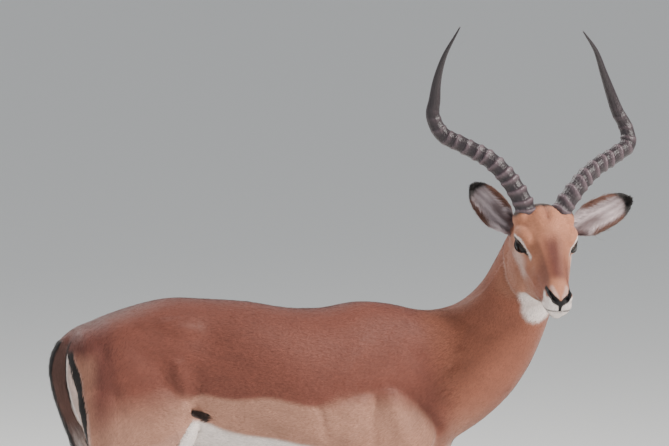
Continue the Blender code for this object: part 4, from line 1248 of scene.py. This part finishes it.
def tufts(coat, skin, region, seed, tree):
    """One joined mesh of thin blades over the piece's part of the skin."""
    rng = np.random.default_rng(seed)
    mesh = skin.data
    p, n = vertex_array(mesh), vertex_array(mesh, "normal")
    corners = np.empty(len(mesh.polygons) * 3, np.int32)
    mesh.polygons.foreach_get("vertices", corners)
    corners = corners.reshape(-1, 3)
    wanted = np.isin(region, [REGIONS.index(r) for r in coat.regions])[corners].sum(1) >= 2
    if coat.name == "coat_neck":
        nape = to_head(p)
        at_border = (nape[:, 0] > -0.12) & (nape[:, 0] < -0.066) & (region == REGIONS.index("head"))
        wanted |= at_border[corners].all(1)
    if coat.side:
        wanted &= p[corners, 1].mean(1) * coat.side > 0
        wanted &= (p[corners, 0].mean(1) > MIDRIFF) == ("front" in coat.name)
    corners = corners[wanted]
    first, second, third = p[corners].transpose(1, 0, 2)
    area = 0.5 * np.linalg.norm(np.cross(second - first, third - first), axis=1)
    q = to_head(p[corners].mean(1))
    if coat.name == "coat_head":
        area *= 0.7 + 1.8 * ramp(0.10, 0.14, q[:, 0]) + 0.5 * ramp(0.04, 0.10, q[:, 0])
        for side in SIDES.values():
            area *= 1 + 1.6 * ramp(0.036, 0.024, np.linalg.norm(q - eye_frame(side)[0], axis=1))
    if coat.name == "coat_legs":
        area *= 1 + 0.8 * ramp(0.45, 0.15, p[corners, 2].mean(1))
    chosen = np.searchsorted(np.cumsum(area) / area.sum(), rng.random(coat.count)).clip(0, len(corners) - 1)
    a, b = rng.random(coat.count), rng.random(coat.count)
    flip = a + b > 1
    a[flip], b[flip] = 1 - a[flip], 1 - b[flip]
    weights = np.stack([1 - a - b, a, b], axis=1)[..., None]
    at = corners[chosen]
    root, normal = (p[at] * weights).sum(1), unit((n[at] * weights).sum(1))
    where = region[at[:, 0]]
    if coat.name != "coat_neck":
        where = np.where(np.isin(where, [REGIONS.index(r) for r in coat.regions]), where, region[at[:, 1]])
    keep = clear_of_bare(root)
    root, normal, where = root[keep], normal[keep], where[keep]
    count = len(root)

    flow = lie_of(root, normal, where)
    flow = unit(flow - (flow * normal).sum(1)[:, None] * normal)
    side = np.cross(normal, flow)
    swing = np.radians(coat.scatter) * (0.6 * rng.normal(size=count) + 1.2 * ripple(root, 0.014, 40))
    flow = flow * np.cos(swing)[:, None] + side * np.sin(swing)[:, None]
    roll = rng.normal(0, coat.roll, count)[:, None]
    side = unit(np.cross(normal, flow) * np.cos(roll) + normal * np.sin(roll))
    length = (length_of(coat, root, normal, where) * np.exp(rng.normal(0, 0.20, count)))[:, None]
    width = (coat.width * np.exp(rng.normal(0, 0.22, count)))[:, None]
    lift = (coat.lift * np.exp(rng.normal(0, 0.45, count)))[:, None] * length / coat.length
    base = root - normal * 0.0006
    middle = root + flow * 0.5 * length + normal * lift * 0.75
    tip = root + flow * length + normal * lift
    if coat.roll < 0.1:
        middle = laid(tree, root + flow * 0.5 * length, 0.5 * lift)
        tip = laid(tree, root + flow * length, lift)
    points = np.stack([base - side * width * 0.5, base + side * width * 0.5, middle + side * width * 0.42,
                       middle - side * width * 0.42, tip], axis=1).reshape(-1, 3)

    made = bpy.data.meshes.new(coat.name)
    made.vertices.add(5 * count)
    made.loops.add(7 * count)
    made.polygons.add(2 * count)
    made.vertices.foreach_set("co", points.astype(np.float32).ravel())
    first = 5 * np.arange(count)[:, None]
    made.loops.foreach_set("vertex_index", (first + np.array([0, 3, 2, 1, 3, 4, 2])).astype(np.int32).ravel())
    starts = 7 * np.arange(count)[:, None] + np.array([0, 4])
    made.polygons.foreach_set("loop_start", starts.astype(np.int32).ravel())
    made.update(calc_edges=True)
    u, v = unwrap(coat, root, normal, where)
    h = UV_PATCH
    offset = np.array([(-h, -h), (-h, 0), (h, 0), (h, -h), (-h, 0), (0, h), (h, 0)])
    spots = np.clip(np.stack([u, v], axis=1), 2 * h, 1 - 2 * h)
    layer = made.uv_layers.new(name="OFBake")
    layer.data.foreach_set("uv", (spots[:, None] + offset).astype(np.float32).ravel())
    piece = bpy.data.objects.new(coat.name, made)
    bpy.context.scene.collection.objects.link(piece)
    colour = markings(root, normal, where)
    colour *= np.exp(rng.normal(0, 0.07, count) + 0.05 * ripple(root, 0.006, seed + 9))[:, None]
    # Painted shade: each tuft's root is darker, as the shade among the hairs; its tip is a little lighter.
    shade = np.array([0.90, 0.90, 1.0, 1.0, 1.05])[None, :, None]
    paint(piece, np.clip(colour[:, None] * shade, 0, 0.93).reshape(-1, 3))
    smooth(piece)
    blade = unit(np.cross(flow, side))
    blade *= np.sign((blade * normal).sum(1))[:, None]
    facing = unit(0.80 * normal + 0.20 * blade + 0.06 * flow)
    made.normals_split_custom_set_from_vertices(np.repeat(facing, 5, axis=0).astype(np.float32))
    return piece


def clear_of_bare(p):
    """False on the bare nose, in the lids' opening, on soles and inside the horns' roots."""
    q = to_head(p)
    m = np.stack([q[:, 0], np.abs(q[:, 1]), q[:, 2]], axis=1)
    keep = ~((q[:, 0] > 0.09) & (bare_nose(m) > 0.5))
    _, over, reach = about_eye(m)
    keep &= ~((reach < 0.032) & (over < 5))
    keep &= p[:, 2] > HOOF_HEIGHT + 0.001
    for bends in HORNS.values():
        gap, _ = path_distance([b[:3] for b in bends[:3]], q)
        keep &= gap > 0.0190
    return keep


# ---------------------------------------------------------------------------------------------
# Materials
# ---------------------------------------------------------------------------------------------
def surface(name, roughness, specular=0.5, coat=0.0, sheen=0.0, grain=None):
    """A Principled material coloured by the piece's own colours. grain is (scale, stretch, distance)."""
    made = bpy.data.materials.new(name)
    made.use_nodes = True
    nodes, links = made.node_tree.nodes, made.node_tree.links
    shader = nodes["Principled BSDF"]
    shader.inputs["Roughness"].default_value = roughness
    shader.inputs["Specular IOR Level"].default_value = specular
    shader.inputs["Coat Weight"].default_value = coat
    shader.inputs["Coat Roughness"].default_value = 0.04
    shader.inputs["Sheen Weight"].default_value = sheen
    shader.inputs["Sheen Roughness"].default_value = 0.5
    colour = nodes.new("ShaderNodeVertexColor")
    colour.layer_name = "Coat colour"
    place = nodes.new("ShaderNodeTexCoord")
    fleck = nodes.new("ShaderNodeTexNoise")
    fleck.inputs["Scale"].default_value = 160
    links.new(place.outputs["Object"], fleck.inputs["Vector"])
    vary = nodes.new("ShaderNodeMapRange")
    vary.inputs["To Min"].default_value, vary.inputs["To Max"].default_value = 0.86, 1.14
    links.new(fleck.outputs["Fac"], vary.inputs["Value"])
    blend = nodes.new("ShaderNodeVectorMath")
    blend.operation = "SCALE"
    links.new(colour.outputs["Color"], blend.inputs[0])
    links.new(vary.outputs["Result"], blend.inputs["Scale"])
    links.new(blend.outputs["Vector"], shader.inputs["Base Color"])
    if grain:
        scale, stretch, distance = grain
        squash = nodes.new("ShaderNodeMapping")
        squash.inputs["Scale"].default_value = stretch
        noise = nodes.new("ShaderNodeTexNoise")
        noise.inputs["Scale"].default_value = scale
        noise.inputs["Detail"].default_value = 6
        bump = nodes.new("ShaderNodeBump")
        bump.inputs["Distance"].default_value = distance
        links.new(place.outputs["Object"], squash.inputs["Vector"])
        links.new(squash.outputs["Vector"], noise.inputs["Vector"])
        links.new(noise.outputs["Fac"], bump.inputs["Height"])
        links.new(bump.outputs["Normal"], shader.inputs["Normal"])
    return made


def dressed(piece, made, nodes):
    """The piece moved onto the CAD's frame and into its material, with the named nodes hidden."""
    piece.data.transform(Matrix.Translation(ORIGIN_SHIFT))
    piece.data.materials.clear()
    piece.data.materials.append(made)
    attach(piece, "root")
    if nodes:
        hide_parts(*nodes)
    return piece


HAIR = surface("hair", 0.62, 0.30, sheen=0.15)
HIDE = surface("hide", 0.70, 0.30, grain=(900, (0.35, 1.0, 1.0), 0.0006))
EYE = surface("eye", 0.07, 0.22)
HORN = surface("horn", 0.44, 0.50, grain=(300, (1.0, 1.0, 0.5), 0.0016))
HOOF = surface("hoof", 0.45, 0.5, grain=(220, (0.3, 0.3, 3.0), 0.0008))
LID = surface("lid", 0.45, 0.35)

# ---------------------------------------------------------------------------------------------
# The model
# ---------------------------------------------------------------------------------------------
skin, region = make_skin()
positions, normals = vertex_array(skin.data), vertex_array(skin.data, "normal")
# Painted shade: the skin is painted at 0.82 of the coat's colour, as the shade between the tufts.
paint(skin, np.clip(0.82 * markings(positions, normals, region), 0, 1))
tree = near_tree(skin)
coats = [tufts(coat, skin, region, 11 + i, tree) for i, coat in enumerate(COATS)]
FLESH = ["head", "neck", "trunk", "tail", "leg_fore_right", "leg_fore_left", "leg_hind_right",
         "leg_hind_left", "ear_right", "ear_left"]
for coat in coats:
    dressed(coat, HAIR, [])
dressed(skin, HIDE, FLESH)
skin.name = "skin"
for name, side in SIDES.items():
    dressed(eyeball(f"fine_eye_{name}", side), EYE, [f"eye_{name}"])
    lid = lid_rim(side)
    lid.name = f"lids_{name}"
    paint(lid, np.tile(BLACK, (len(lid.data.vertices), 1)))
    dressed(lid, LID, [])
    dressed(horn(f"fine_horn_{name}", HORNS[name]), HORN, [f"horn_{name}"])
    for leg, start, step in (("fore", FORE_TOE_X, FORE_STEP), ("hind", HIND_TOE_X, HIND_STEP)):
        for half, offset in (("inner", -TOE_OFFSET), ("outer", TOE_OFFSET)):
            y = side * (LEG_SPREAD + offset)
            node = f"hoof_{leg}_{name}_{half}"
            inner = -side if half == "outer" else side
            dressed(toe(f"fine_{node}", start + step[name], y, inner), HOOF, [node])

# ---------------------------------------------------------------------------------------------
# Floor, light and camera
# ---------------------------------------------------------------------------------------------
bpy.ops.mesh.primitive_plane_add(size=160.0)
floor = bpy.context.object
floor.name = "floor"
pale = bpy.data.materials.new("floor")
pale.use_nodes = True
pale.node_tree.nodes["Principled BSDF"].inputs["Base Color"].default_value = (0.88, 0.88, 0.86, 1)
pale.node_tree.nodes["Principled BSDF"].inputs["Roughness"].default_value = 0.9
floor.data.materials.append(pale)

world = bpy.data.worlds.new("studio")
bpy.context.scene.world = world
world.use_nodes = True
world.node_tree.nodes["Background"].inputs["Color"].default_value = (0.93, 0.96, 1.0, 1)
world.node_tree.nodes["Background"].inputs["Strength"].default_value = 0.50


def soft_light(name, place, target, size, power, colour):
    lamp = bpy.data.lights.new(name, "AREA")
    lamp.size, lamp.energy, lamp.color = size, power, colour
    made = bpy.data.objects.new(name, lamp)
    bpy.context.scene.collection.objects.link(made)
    made.location = place
    made.rotation_euler = (Vector(target) - Vector(place)).to_track_quat("-Z", "Y").to_euler()


MIDDLE = (0.0, 0.0, 0.85)
soft_light("key", (3.4, -2.6, 4.4), MIDDLE, 1.3, 560, (1.0, 0.96, 0.91))
soft_light("fill", (-3.8, -3.6, 2.4), MIDDLE, 3.0, 60, (0.92, 0.96, 1.0))
soft_light("rim", (-2.0, 3.2, 4.4), MIDDLE, 2.0, 260, (1.0, 0.98, 0.95))

VIEW_TURN, VIEW_RISE, VIEW_DISTANCE = math.radians(-15), math.radians(5), 15.0
VIEW_TARGET = Vector((-0.0144, 0.0771, 1.056))
lens = bpy.data.cameras.new("camera")
lens.sensor_width, lens.lens = 36.0, 403.6
camera = bpy.data.objects.new("camera", lens)
bpy.context.scene.collection.objects.link(camera)
back = Vector((math.sin(VIEW_TURN) * math.cos(VIEW_RISE), -math.cos(VIEW_TURN) * math.cos(VIEW_RISE),
               math.sin(VIEW_RISE)))
camera.location = VIEW_TARGET + VIEW_DISTANCE * back
camera.rotation_euler = back.to_track_quat("Z", "Y").to_euler()
bpy.context.scene.camera = camera
